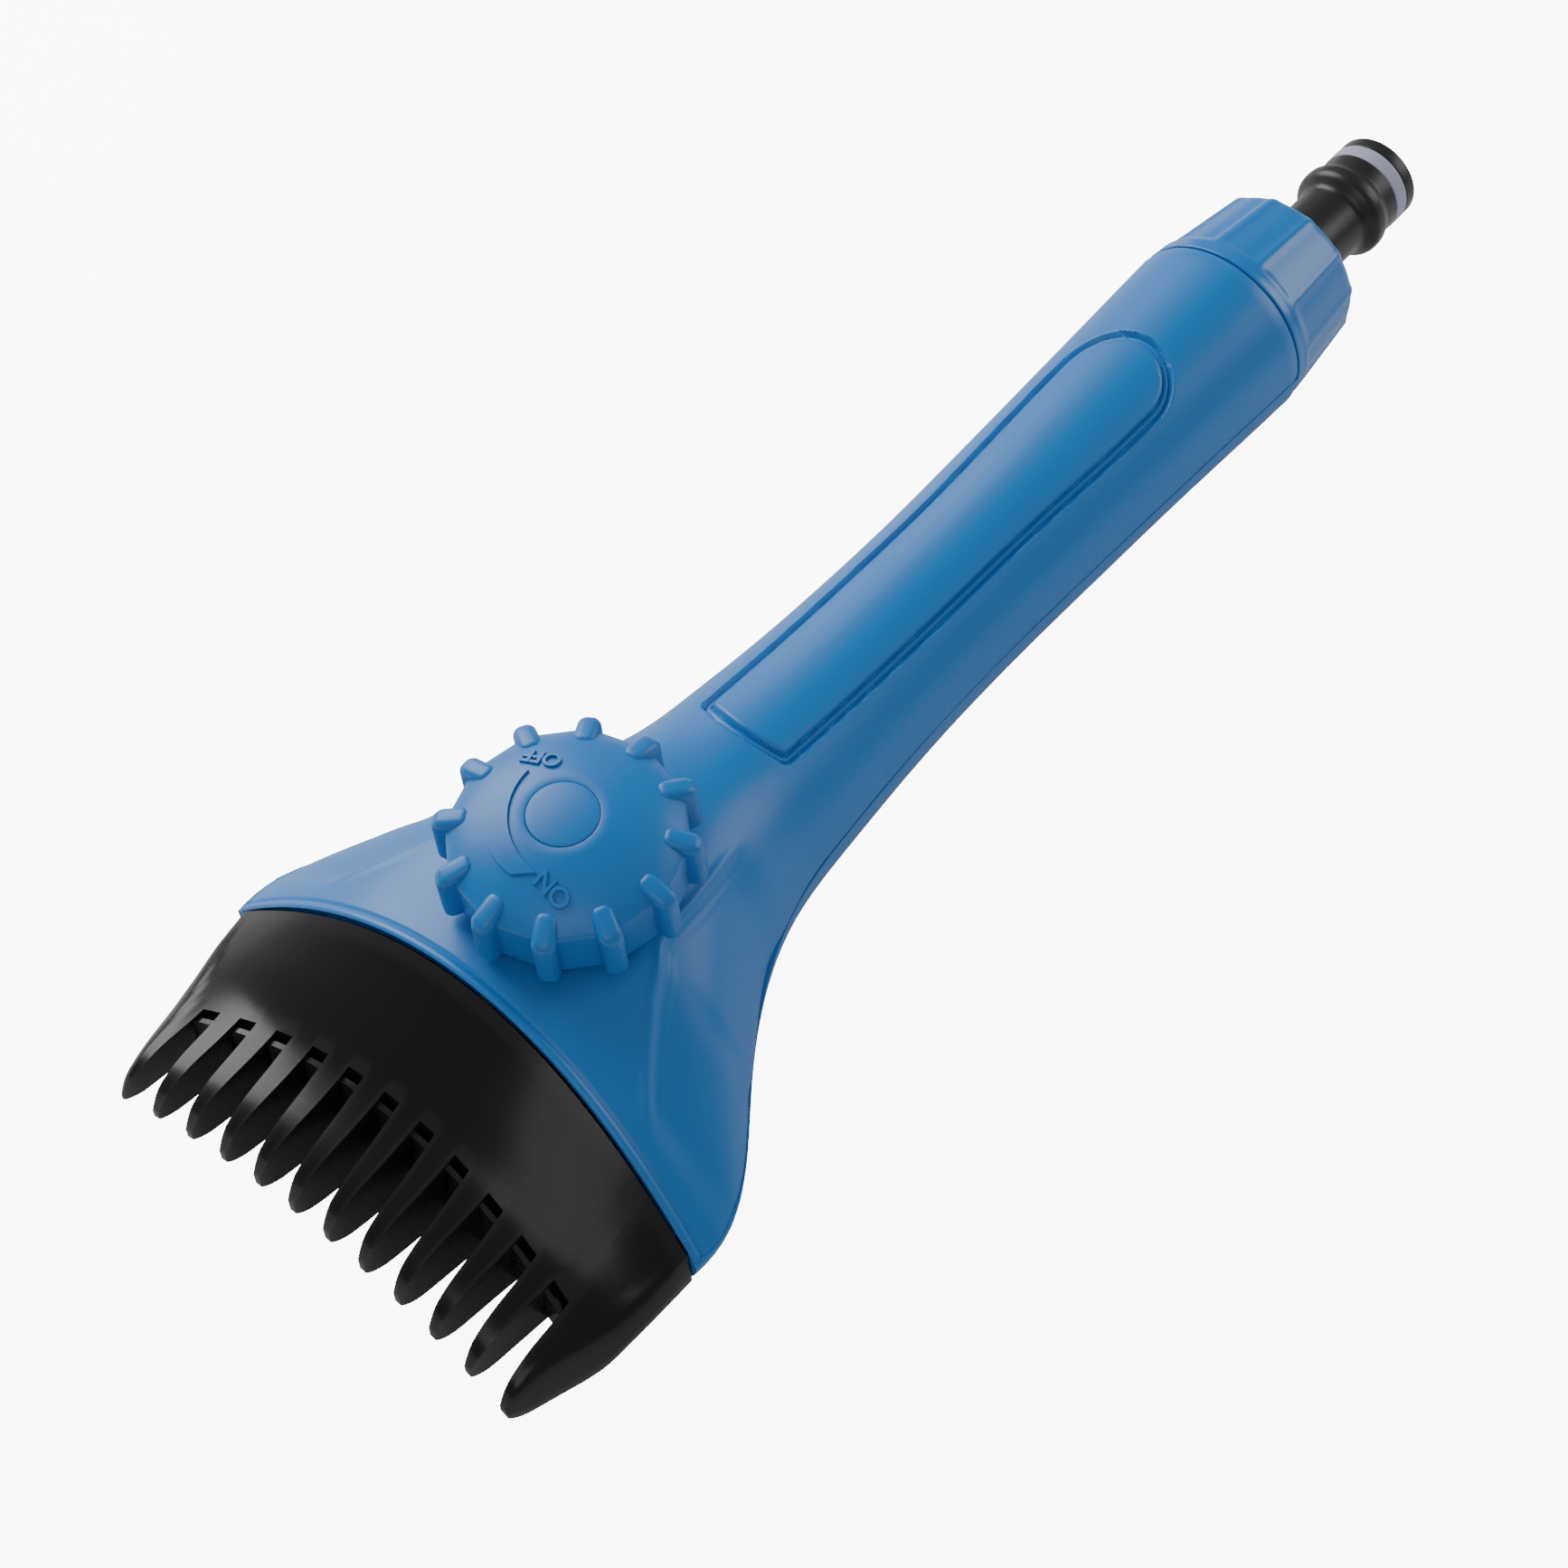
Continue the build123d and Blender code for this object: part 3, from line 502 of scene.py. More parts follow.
def arc_through(start: Vector, middle: Vector, end: Vector) -> Callable[[float], Vector]:
    """Run a circular arc through three flat points.

    Args:
        start: Point at 0.
        middle: A point on the way.
        end: Point at 1.

    Returns:
        A function from 0..1 to the point on the arc.
    """
    a, b = start - middle, end - middle
    cross = 2.0 * (a.x * b.y - a.y * b.x)
    centre = middle + Vector((b.y * a.length_squared - a.y * b.length_squared,
                              a.x * b.length_squared - b.x * a.length_squared)) / cross
    radius = (start - centre).length
    first = atan2(start.y - centre.y, start.x - centre.x)
    sweep = atan2(end.y - centre.y, end.x - centre.x) - first
    turning = -1.0 if cross > 0 else 1.0
    sweep = turning * ((turning * sweep) % (2 * pi))

    def point(share: float) -> Vector:
        """Read the arc at a share of its sweep."""
        angle = first + sweep * share
        return centre + radius * Vector((cos(angle), sin(angle)))

    return point


# ------------------------------------------------------------------ blue casing
@dataclass
class Casing:
    """The upper shell of the blue casing, down to the parting line."""

    layout: Layout
    start: float = 48.3
    wall: float = 2.2
    seam_d: float = 230.5
    seam_bow: float = 510.0
    panel_round_d: float = 79.5
    panel_round_r: float = 8.2
    panel_half_width: float = 7.0
    panel_end_d: float = 169.4
    groove_width: float = 1.9
    groove_depth: float = 1.0
    groove_turn: float = 0.35
    groove_corner: Tuple[float, float] = (0.38, 0.42)
    panel_rise: float = 0.12
    crease_span: Tuple[float, float, float, float] = (184.0, 192.0, 224.0, 229.5)
    crease_rise: float = 0.30
    crease_hollow: float = 0.85
    edge_drop: float = 0.3
    neck_r: float = 6.2
    # distance, half width, parting height, top, bottom, powers of the arch
    stations: Tuple[Station, ...] = (
        (48.3, 16.9, 0.0, 16.9, -16.9, 2.0, 2.0),
        (56.0, 16.65, -0.15, 16.5, -16.85, 2.0, 2.0),
        (66.0, 16.3, -0.3, 15.9, -16.7, 2.0, 2.0),
        (80.0, 15.85, -0.6, 15.2, -16.4, 2.0, 2.0),
        (98.0, 15.3, -1.0, 14.3, -16.3, 2.0, 2.0),
        (122.0, 14.8, -1.5, 13.3, -16.3, 2.0, 2.0),
        (146.0, 15.3, -2.0, 13.4, -17.3, 2.0, 2.0),
        (164.0, 16.6, -2.5, 14.2, -19.3, 2.0, 2.0),
        (178.0, 18.4, -3.0, 15.8, -20.5, 2.1, 1.9),
        (192.0, 23.4, -3.8, 18.4, -20.6, 2.5, 1.75),
        (208.0, 33.5, -4.6, 19.2, -20.6, 2.7, 1.55),
        (220.0, 42.4, -5.3, 18.4, -20.6, 2.2, 1.25),
        (228.0, 45.9, -5.8, 17.6, -20.6, 2.05, 1.06),
        (238.0, 45.6, -6.2, 16.9, -20.4, 2.0, 1.0),
    )
    # distance and half spread of the two creases that run from behind the knob
    crease: Tuple[Station, ...] = (
        (187.0, 12.8), (198.0, 15.0), (207.5, 16.6), (210.8, 18.9), (214.4, 21.0),
        (222.4, 26.8), (227.5, 31.3), (229.2, 33.5),
    )

    def build(self) -> None:
        """Build and dress the upper shell."""
        self.track = Track(self.stations)
        self.crease_track = Track(self.crease)
        upper = self.sheet()
        self.open_neck(upper)
        upper.normal_update()
        for vertex in upper.verts:
            d, y = self.plan(vertex.co)
            vertex.co += vertex.normal * self.relief(d, y, vertex.co.z) * MM
        self.thicken(upper)
        finish_piece(
            upper, Role("upper_casing_skin", "handle_body", "blue_shell", ("handle_upper_shell",), BLUE), 50.0
        )

    def plan(self, point: Vector) -> Tuple[float, float]:
        """Read (d, y) of a point in the row frame, mm."""
        return (self.layout.hose_x - point.x) / MM, point.y / MM

    def sheet(self) -> bmesh.types.BMesh:
        """Lay the outer surface of the upper shell."""
        angles = graded(0.0, pi, 0.05, ((0.0, 0.03, 0.012), (0.78, 1.16, 0.0135),
                                        (pi - 1.16, pi - 0.78, 0.0135), (pi - 0.03, pi, 0.012)))
        spots = graded(self.start, self.seam_d - 0.15, 1.3, ((68.8, 76.0, 0.28), (166.5, 172.5, 0.26),
                                                             (188.0, 226.0, 0.68), (227.8, 230.5, 0.22)))

        def place(row: int, column: int) -> Vector:
            """Find one corner of the sheet, following the bow of the seam."""
            base, angle = spots[row], angles[column]
            side, lift = cos(angle), max(0.0, sin(angle))
            d = base
            for _ in range(3):
                half_width, middle, top, _, y_power, z_power = self.track.at(d)
                y = half_width * abs(side) ** (2.0 / y_power) * (1.0 if side > 0 else -1.0)
                d = base + y * y / self.seam_bow * smooth_step(195.0, self.seam_d, base)
            return self.layout.point(d, y, middle + (top - middle) * lift ** (2.0 / z_power))

        return grid_sheet(len(spots), len(angles), place)

    def thicken(self, shape: bmesh.types.BMesh) -> None:
        """Give the sheet its wall, which thins out towards the parting line."""
        shape.normal_update()
        inward = {vertex.co.copy().freeze(): vertex.normal.copy() for vertex in shape.verts}
        made = bmesh.ops.extrude_face_region(shape, geom=shape.faces[:])
        for item in made["geom"]:
            if isinstance(item, bmesh.types.BMVert):
                d, _ = self.plan(item.co)
                over = (item.co.z - self.layout.axis_z) / MM - self.track.at(d)[1]
                normal = inward[item.co.copy().freeze()]
                room = min(self.wall, 0.35 + 0.5 * abs(over))
                item.co -= normal * room * MM
        bmesh.ops.recalc_face_normals(shape, faces=shape.faces)

    def open_neck(self, shape: bmesh.types.BMesh) -> None:
        """Open the round hole under the knob for the valve's neck."""
        origin, up = self.layout.knob_origin, self.layout.knob_axis.normalized()

        def off_axis(point: Vector) -> Vector:
            """Give the part of a point square to the knob's axis."""
            arm = point - origin
            return arm - up * arm.dot(up)

        covered = [f for f in shape.faces if off_axis(f.calc_center_median()).length < self.neck_r * MM]
        bmesh.ops.delete(shape, geom=covered, context="FACES")
        for edge in shape.edges:
            if edge.is_boundary:
                for vertex in edge.verts:
                    arm = off_axis(vertex.co)
                    if arm.length < 1.4 * self.neck_r * MM:
                        vertex.co += arm.normalized() * (self.neck_r * MM) - arm

    def relief(self, d: float, y: float, height: float) -> float:
        """Height of the moulded detail over the plain shell, mm.

        Args:
            d: Distance from the hose end, mm.
            y: Distance to the side, mm.
            height: Height in the row frame, metres.

        Returns:
            How far the surface stands out.
        """
        spread = abs(y)
        over = (height - self.layout.axis_z) / MM - self.track.at(d)[1]
        return self.groove(d, spread) + self.creases(d, spread) + self.edge_turn(d, y, over)

    def edge_turn(self, d: float, y: float, off_parting: float) -> float:
        """Bead along the seam, and the small rounds at the free edges.

        Args:
            d: Distance from the hose end, mm.
            y: Distance to the side, mm.
            off_parting: Height away from the parting line, mm.

        Returns:
            How far the surface stands out, mm.
        """
        to_seam = self.seam_d + y * y / self.seam_bow - d
        rise = 0.16 * bell(to_seam - 0.75, 0.75) - 0.25 * bell(to_seam - 1.75, 0.45)
        rise -= self.edge_drop * (1.0 - smooth_step(0.0, 0.4, to_seam))
        rise -= self.edge_drop * (1.0 - smooth_step(0.0, 0.5, d - self.start))
        return rise - 0.16 * (1.0 - smooth_step(0.0, 0.5, off_parting))

    def groove(self, d: float, spread: float) -> float:
        """Channel around the grip panel, and the panel's slight rise."""
        if d < self.panel_round_d:
            outside = hypot(d - self.panel_round_d, spread) - self.panel_round_r
        else:
            narrowing = smooth_step(self.panel_round_d, 120.0, d)
            half = self.panel_round_r + (self.panel_half_width - self.panel_round_r) * narrowing
            bulge = 1.3 * (1.0 - min(1.0, spread / self.panel_half_width) ** 2)
            aside, ahead = spread - half, d - self.panel_end_d - bulge
            outside = hypot(aside, ahead) if aside > 0.0 and ahead > 0.0 else max(aside, ahead)
        channel = smooth_step(0.0, self.groove_turn, outside)
        channel -= smooth_step(self.groove_width - self.groove_turn, self.groove_width, outside)
        inset, reach = self.groove_corner
        corners = bell(outside - inset, reach) + bell(outside - self.groove_width + inset, reach)
        panel = self.panel_rise * (1.0 - smooth_step(-self.groove_turn, 0.0, outside))
        return panel - self.groove_depth * (0.62 * channel + 0.38 * corners)

    def creases(self, d: float, spread: float) -> float:
        """The two soft ridges that fan out from the knob, with hollow flanks."""
        first, full, ease, last = self.crease_span
        fade = smooth_step(first, full, d) * (1.0 - smooth_step(ease, last, d))
        if fade <= 0.0:
            return 0.0
        line = self.crease_track.at(d)[0]
        slope = self.crease_track.at(d + 0.5)[0] - self.crease_track.at(d - 0.5)[0]
        outside = (spread - line) / sqrt(1.0 + slope * slope)
        ridge = self.crease_rise * bell(outside, 1.1) + 0.12 * bell(outside - 2.3, 0.8)
        hollow = self.crease_hollow * smooth_step(0.0, 2.2, outside) * (1.0 - smooth_step(4.0, 18.0, outside))
        return fade * (ridge - hollow)


# ------------------------------------------------------------------ black comb
@dataclass
class Comb:
    """The black comb: a lid and a base that both run out into twelve teeth."""

    layout: Layout
    slots: int = 11
    pitch: float = 6.99
    slot_half: float = 1.45
    slot_taper: float = 0.058
    tip_round: float = 3.6
    seam: Tuple[float, float] = (230.8, 1 / 510)
    root: Tuple[float, float] = (246.6, 0.00293)
    tip: Tuple[float, float] = (264.65, 0.00114)
    lip_gap: float = 1.2
    lip_width: float = 0.8
    lip_drop: float = 0.7
    edge_round: float = 0.28
    end_shares: Tuple[float, ...] = (
        0.0, 0.08, 0.2, 0.35, 0.5, 0.62, 0.72, 0.8, 0.87, 0.92, 0.955, 0.98, 0.993,
    )
    tooth_shares: Tuple[float, ...] = (
        0.06, 0.13, 0.2, 0.3, 0.4, 0.5, 0.6, 0.7, 0.8, 0.87, 0.92, 0.96, 0.985, 1.0,
    )
    # distance, half width, top, its crown, bottom, its crown, width of the round shoulder
    stations: Tuple[Station, ...] = (
        (229.0, 45.4, 18.1, 0.0106, -20.0, -0.0045, 1.0),
        (240.0, 45.3, 10.6, 0.0085, -15.0, -0.0020, 2.4),
        (246.6, 44.6, 6.1, 0.0073, -11.5, 0.0005, 3.6),
        (252.0, 43.7, 3.9, 0.0063, -8.8, 0.0028, 4.4),
        (260.0, 41.6, 1.4, 0.0048, -7.8, 0.0033, 3.4),
        (266.25, 39.9, -2.4, 0.0039, -6.6, 0.0039, 1.6),
    )
    # distance, height and crown of the face where lid and base meet
    split: Tuple[Station, ...] = ((215.0, 15.2, 0.0105), (270.0, -11.2, 0.0036))

    def build(self) -> None:
        """Build and dress the lid and the base."""
        self.track = Track(self.stations)
        self.split_track = Track(self.split)
        lid = self.plate(self.lid_top, self.split_height, 0.0, (0.0,))
        self.round_edges(lid)
        finish_piece(
            lid, Role("comb_lid", "handle_body", "black_comb", ("comb_upper_shell",), BLACK_COMB), 35.0
        )
        lip_end = self.lip_gap + self.lip_width
        base = self.plate(self.base_top, self.base_bottom, lip_end, (self.lip_gap - 0.05, self.lip_gap))
        self.round_edges(base)
        finish_piece(
            base, Role("comb_base", "handle_body", "black_comb", ("comb_lower_shell",), BLACK_COMB), 35.0
        )

    def curve(self, line: Tuple[float, float], y: float) -> float:
        """Distance of a bowed cross line at y."""
        return line[0] + line[1] * y * y

    def half_slot(self, d: float) -> float:
        """Half width of a slot at distance d."""
        return self.slot_half + self.slot_taper * (max(d, self.root[0]) - self.root[0])

    def columns(self) -> List[Tuple[int, float]]:
        """List the columns as (slot edge before it, share across), tooth by tooth and slot by slot.

        Even numbers stand for teeth and odd numbers for slots.
        """
        shares = (0.0, 0.12, 0.3, 0.5, 0.7, 0.88)
        result: List[Tuple[int, float]] = []
        end_teeth = {
            0: [1.0 - share for share in reversed(self.end_shares)],
            2 * self.slots: list(self.end_shares),
        }
        for band in range(2 * self.slots + 1):
            if band % 2:
                result += [(band, 0.0), (band, 0.5)]
            elif band in end_teeth:
                result += [(band, share) for share in end_teeth[band]]
            else:
                result += [(band, share) for share in shares]
        return result + [(2 * self.slots, 1.0)]

    def across(self, band: int, share: float, d: float) -> float:
        """Y of a column at distance d."""
        half_width = self.track.at(d)[0]
        low, high = self.band_edge(band, d, half_width), self.band_edge(band + 1, d, half_width)
        if band % 2 == 0:
            low, high = self.narrowed(band, low, high, d)
        return low + (high - low) * share

    def narrowed(self, band: int, low: float, high: float, d: float) -> Tuple[float, float]:
        """Draw the sides of a tooth together as it rounds off at its tip."""
        pivot = (low + high) / 2
        if band == 0:
            pivot = low + 0.9
        if band == 2 * self.slots:
            pivot = high - 0.9
        into = max(0.0, 1.0 - (self.curve(self.tip, pivot) - d) / self.tip_round)
        keep = max(0.16, sqrt(max(0.0, 1.0 - into * into)))
        return pivot + (low - pivot) * keep, pivot + (high - pivot) * keep

    def band_edge(self, band: int, d: float, half_width: float) -> float:
        """Y of the low side of a tooth or slot."""
        if band == 0:
            return -half_width
        if band == 2 * self.slots + 1:
            return half_width
        slot = (band - 1) // 2 - (self.slots - 1) / 2
        return slot * self.pitch + (-1.0 if band % 2 else 1.0) * self.half_slot(d)

    def plate(
        self,
        top: Callable[[float, float], float],
        bottom: Callable[[float, float], float],
        reach: float,
        extra_rows: Sequence[float],
    ) -> bmesh.types.BMesh:
        """Make a toothed plate between two heights.

        Args:
            top: Height of its top at (d, y).
            bottom: Height of its underside at (d, y).
            reach: How far the slot floor stands out from the root line, mm.
            extra_rows: More rows, mm out from the root line.

        Returns:
            The closed plate.
        """
        columns = self.columns()
        body = [step / 12 for step in range(12)]
        rows = [("body", share) for share in body]
        beyond = sorted(set([0.0, *extra_rows, reach]))
        rows += [("near", value) for value in beyond]
        rows += [("tooth", share) for share in self.tooth_shares]

        def spot(row: int, column: int) -> Tuple[float, float]:
            """Find (d, y) of a grid corner."""
            kind, value = rows[row]
            band, share = columns[column]
            y = self.across(band, share, self.root[0])
            d = self.root[0]
            for _ in range(3):
                start, root, end = self.curve(self.seam, y), self.curve(self.root, y), self.curve(self.tip, y)
                if kind == "body":
                    d = start + (root - start) * value
                elif kind == "near":
                    d = root + value
                else:
                    d = root + beyond[-1] + (end - root - beyond[-1]) * value
                y = self.across(band, share, d)
            return d, y

        def place(row: int, column: int) -> Vector:
            """Put a grid corner on the top."""
            d, y = spot(row, column)
            return self.layout.point(d, y, top(d, y))

        shape = grid_sheet(len(rows), len(columns), place)
        open_faces = []
        for face in shape.faces:
            centre = face.calc_center_median()
            d, y = (self.layout.hose_x - centre.x) / MM, centre.y / MM
            nearest = round(y / self.pitch)
            inside = abs(nearest) <= self.slots // 2 and abs(y - nearest * self.pitch) < self.half_slot(d)
            if inside and d > self.curve(self.root, y) + reach:
                open_faces.append(face)
        bmesh.ops.delete(shape, geom=open_faces, context="FACES")
        top_faces = shape.faces[:]
        made = bmesh.ops.extrude_face_region(shape, geom=top_faces)
        for item in made["geom"]:
            if isinstance(item, bmesh.types.BMVert):
                d, y = (self.layout.hose_x - item.co.x) / MM, item.co.y / MM
                item.co = self.layout.point(d, y, min(bottom(d, y), top(d, y) - 0.02))
        bmesh.ops.recalc_face_normals(shape, faces=shape.faces)
        return shape

    def round_edges(self, shape: bmesh.types.BMesh) -> None:
        """Round every moulded edge of a plate."""
        shape.normal_update()
        sharp = [e for e in shape.edges if len(e.link_faces) == 2 and e.calc_face_angle() > radians(48)]
        bmesh.ops.bevel(
            shape, geom=sharp, offset=self.edge_round * MM, offset_type="OFFSET", affect="EDGES",
            segments=2, profile=0.5, material=-1, clamp_overlap=True,
        )

    def lid_top(self, d: float, y: float) -> float:
        """Top of the lid: a slope that flattens along the teeth and rounds off at their tips."""
        half_width, top, crown, _, _, shoulder = self.track.at(d)
        to_tip = self.curve(self.tip, y) - d
        nose = 2.8 * max(0.0, 1.0 - to_tip / 3.0) ** 2.2 if to_tip < 3.0 else 0.0
        edge = half_width - shoulder
        height = top - crown * min(abs(y), edge) ** 2
        if abs(y) > edge:
            share = min(1.0, (abs(y) - edge) / shoulder)
            low = self.base_bottom(d, half_width)
            height = low + (height - low) * sqrt(1.0 - share * share)
        return height - nose

    def split_height(self, d: float, y: float) -> float:
        """Face where lid and base meet, or the underside of the teeth where it is lower."""
        height, crown = self.split_track.at(d)
        return max(height - crown * y * y, self.base_bottom(d, y))

    def base_bottom(self, d: float, y: float) -> float:
        """Underside of the comb."""
        bottom, crown = self.track.at(d)[3:5]
        return bottom - crown * y * y

    def base_top(self, d: float, y: float) -> float:
        """Top of the base, with the lip that stands in each slot."""
        nearest = round(y / self.pitch)
        inside = abs(nearest) <= self.slots // 2
        inside = inside and abs(y - nearest * self.pitch) < self.half_slot(d) + 0.02
        out = d - self.curve(self.root, y)
        if inside and self.lip_gap - 0.02 < out < self.lip_gap + self.lip_width + 0.02:
            return self.lid_top(d, y) - self.lip_drop
        return self.split_height(d, y) - 0.03


# ------------------------------------------------------------------ knob
@dataclass
class Knob:
    """The valve knob: a domed dial with twelve grips and a raised legend."""

    layout: Layout
    radius: float = 17.7
    dome_top: float = 4.6
    dome_radius: float = 30.3
    skirt: float = 10.0
    cap_r: float = 5.32
    grips: int = 12
    first_grip: float = 2.0
    grip_length: float = 5.8
    grip_width: float = 3.9
    grip_round: float = 1.35
    grip_centre: float = 16.65
    relief: float = 0.42

    def build(self) -> None:
        """Build and dress the dial and its cap."""
        dial = self.dial()
        self.add_grips(dial)
        self.add_arrow(dial)
        self.add_word(dial, "OFF", (5.6, 9.2), 108.0, 2.5, 0.95)
        self.add_word(dial, "ON", (-9.2, -6.4), 84.0, 2.6, 0.95)
        finish_piece(dial, Role("knob_dial", "knob_body", "blue_knob", ("knob",), BLUE_KNOB), 46.0)
        finish_piece(
            self.cap(), Role("knob_centre_cap", "knob_body", "blue_knob", ("knob_cap",), BLUE_KNOB), 32.0
        )

    def dome(self, radius: float) -> float:
        """Height of the dome at a radius."""
        return self.dome_top - self.dome_radius + sqrt(max(0.0, self.dome_radius**2 - radius**2))

    def dial(self) -> bmesh.types.BMesh:
        """Turn the dial, then flatten its wall between the grips."""
        inner = self.cap_r + 0.03
        edge = self.dome(self.radius)
        top = [(r, self.dome(r), 0.0) for r in (inner + 0.3, 7.0, 9.0, 11.0, 13.0, 15.0, 16.4)]
        outline = [(inner, self.dome(inner) - 0.15, 0.0), *top, (self.radius, edge, 0.7),
                   (self.radius, edge - 2.0, 0.0), (self.radius - 0.15, -6.0, 0.0),
                   (self.radius - 0.3, -self.skirt, 0.3), (self.radius - 2.6, -self.skirt, 0.3),
                   (self.radius - 2.6, -2.6, 0.4), (7.0, 0.6, 0.4), (inner, 0.6, 0.0)]
        shape = lathe(rounded(outline), Matrix.Identity(4), self.grips * 12)
        step = 2 * pi / self.grips
        for vertex in shape.verts:
            reach = hypot(vertex.co.x, vertex.co.y)
            angle = (atan2(vertex.co.y, vertex.co.x) - radians(self.first_grip)) % step - step / 2
            flat = cos(step / 2) / cos(angle)
            pull = 1.0 + (flat - 1.0) * smooth_step(15.0, 17.4, reach)
            vertex.co.x *= pull
            vertex.co.y *= pull
        bmesh.ops.transform(shape, matrix=self.layout.knob_matrix(), verts=shape.verts)
        return shape

    def add_grips(self, dial: bmesh.types.BMesh) -> None:
        """Stand the twelve rounded grips around the dial."""
        for grip in range(self.grips):
            made = bmesh.ops.create_cube(dial, size=1.0)
            corners = made["verts"]
            bmesh.ops.scale(dial, vec=(self.grip_length, self.grip_width, self.skirt + 0.6), verts=corners)
            faces = list({face for v in corners for face in v.link_faces})
            edges = list({edge for v in corners for edge in v.link_edges})
            rounded_off = bmesh.ops.bevel(
                dial, geom=edges, offset=self.grip_round, offset_type="OFFSET", affect="EDGES", segments=5,
                profile=0.5, material=-1, clamp_overlap=True,
            )
            verts = list({v for face in rounded_off["faces"] for v in face.verts}
                         | {v for face in faces if face.is_valid for v in face.verts})
            for vertex in verts:
                share = smooth_step(-1.0, self.skirt / 2, vertex.co.z)
                vertex.co.y *= 1.0 - share * 0.3 * (vertex.co.x / 2.85) ** 2
                vertex.co.y *= 0.86 + 0.14 * share
                vertex.co.z -= 0.33 * vertex.co.x * share
            bmesh.ops.translate(dial, vec=(self.grip_centre, 0.0, -self.skirt / 2 + 0.3), verts=verts)
            turn = Matrix.Rotation(radians(self.first_grip + 360.0 / self.grips * grip), 4, "Z")
            bmesh.ops.transform(dial, matrix=self.layout.knob_matrix() @ turn, verts=verts)

    def raise_sheet(self, dial: bmesh.types.BMesh, sheet: bmesh.types.BMesh) -> None:
        """Thicken a flat outline in the dial's plane and bend it onto the dome.

        Args:
            dial: The dial, which receives it.
            sheet: Flat faces at height 0, in mm. It is freed.
        """
        bmesh.ops.recalc_face_normals(sheet, faces=sheet.faces)
        made = bmesh.ops.extrude_face_region(sheet, geom=sheet.faces[:])
        lower = {item for item in made["geom"] if isinstance(item, bmesh.types.BMVert)}
        for vertex in sheet.verts:
            reach = hypot(vertex.co.x, vertex.co.y)
            vertex.co.z = self.dome(reach) + (-0.3 if vertex in lower else self.relief)
        bmesh.ops.recalc_face_normals(sheet, faces=sheet.faces)
        bmesh.ops.transform(sheet, matrix=self.layout.knob_matrix(), verts=sheet.verts)
        mesh = bpy.data.meshes.new("raised")
        sheet.to_mesh(mesh)
        sheet.free()
        dial.from_mesh(mesh)
        bpy.data.meshes.remove(mesh)

    def add_arrow(self, dial: bmesh.types.BMesh) -> None:
        """Raise the crescent that tapers from ON to OFF."""
        tip = Vector((3.0, 9.0))
        outer = arc_through(tip, Vector((-6.3, 8.75)), Vector((-11.2, -0.3)))
        inner = arc_through(tip, Vector((-4.7, 6.2)), Vector((-9.0, -3.15)))
        rows, columns = 33, 4

        def place(row: int, column: int) -> Vector:
            """Put a corner between the two arcs."""
            share = 0.02 + 0.98 * row / (rows - 1)
            spot = outer(share).lerp(inner(share), column / (columns - 1))
            return Vector((spot.x, spot.y, 0.0))

        self.raise_sheet(dial, grid_sheet(rows, columns, place))

    def add_word(
        self, dial: bmesh.types.BMesh, word: str, centre: Tuple[float, float], heading: float,
        height: float, spacing: float,
    ) -> None:
        """Raise a word of the legend.

        Args:
            dial: The dial, which receives it.
            word: The letters.
            centre: Middle of the word in the dial's plane, mm.
            heading: Direction in which it reads, degrees.
            height: Height of a capital, mm.
            spacing: Share of the usual letter spacing.
        """
        curve = bpy.data.curves.new("legend", "FONT")
        curve.body = word
        curve.align_x, curve.align_y = "CENTER", "CENTER"
        curve.size = height / 0.7
        curve.space_character = spacing
        curve.offset = 0.03 * height
        curve.resolution_u = 6
        holder = bpy.data.objects.new("legend", curve)
        bpy.context.scene.collection.objects.link(holder)
        bpy.context.view_layer.update()
        flat = bpy.data.meshes.new_from_object(holder.evaluated_get(bpy.context.evaluated_depsgraph_get()))
        bpy.data.objects.remove(holder)
        bpy.data.curves.remove(curve)
        sheet = bmesh.new()
        sheet.from_mesh(flat)
        bpy.data.meshes.remove(flat)
        bmesh.ops.remove_doubles(sheet, verts=sheet.verts, dist=1e-4)
        place = Matrix.Translation((*centre, 0.0)) @ Matrix.Rotation(radians(heading), 4, "Z")
        bmesh.ops.transform(sheet, matrix=place, verts=sheet.verts)
        self.raise_sheet(dial, sheet)

    def cap(self) -> bmesh.types.BMesh:
        """Turn the small cap over the knob's screw."""
        rim = self.cap_r - 0.04
        outline = [(0.0, self.dome(0.0), 0.0), *((r, self.dome(r), 0.0) for r in (1.5, 3.0, 4.2)),
                   (rim, self.dome(rim), 0.2), (rim, 2.6, 0.0), (0.0, 2.6, 0.0)]
        return lathe(rounded(outline), self.layout.knob_matrix(), 72)


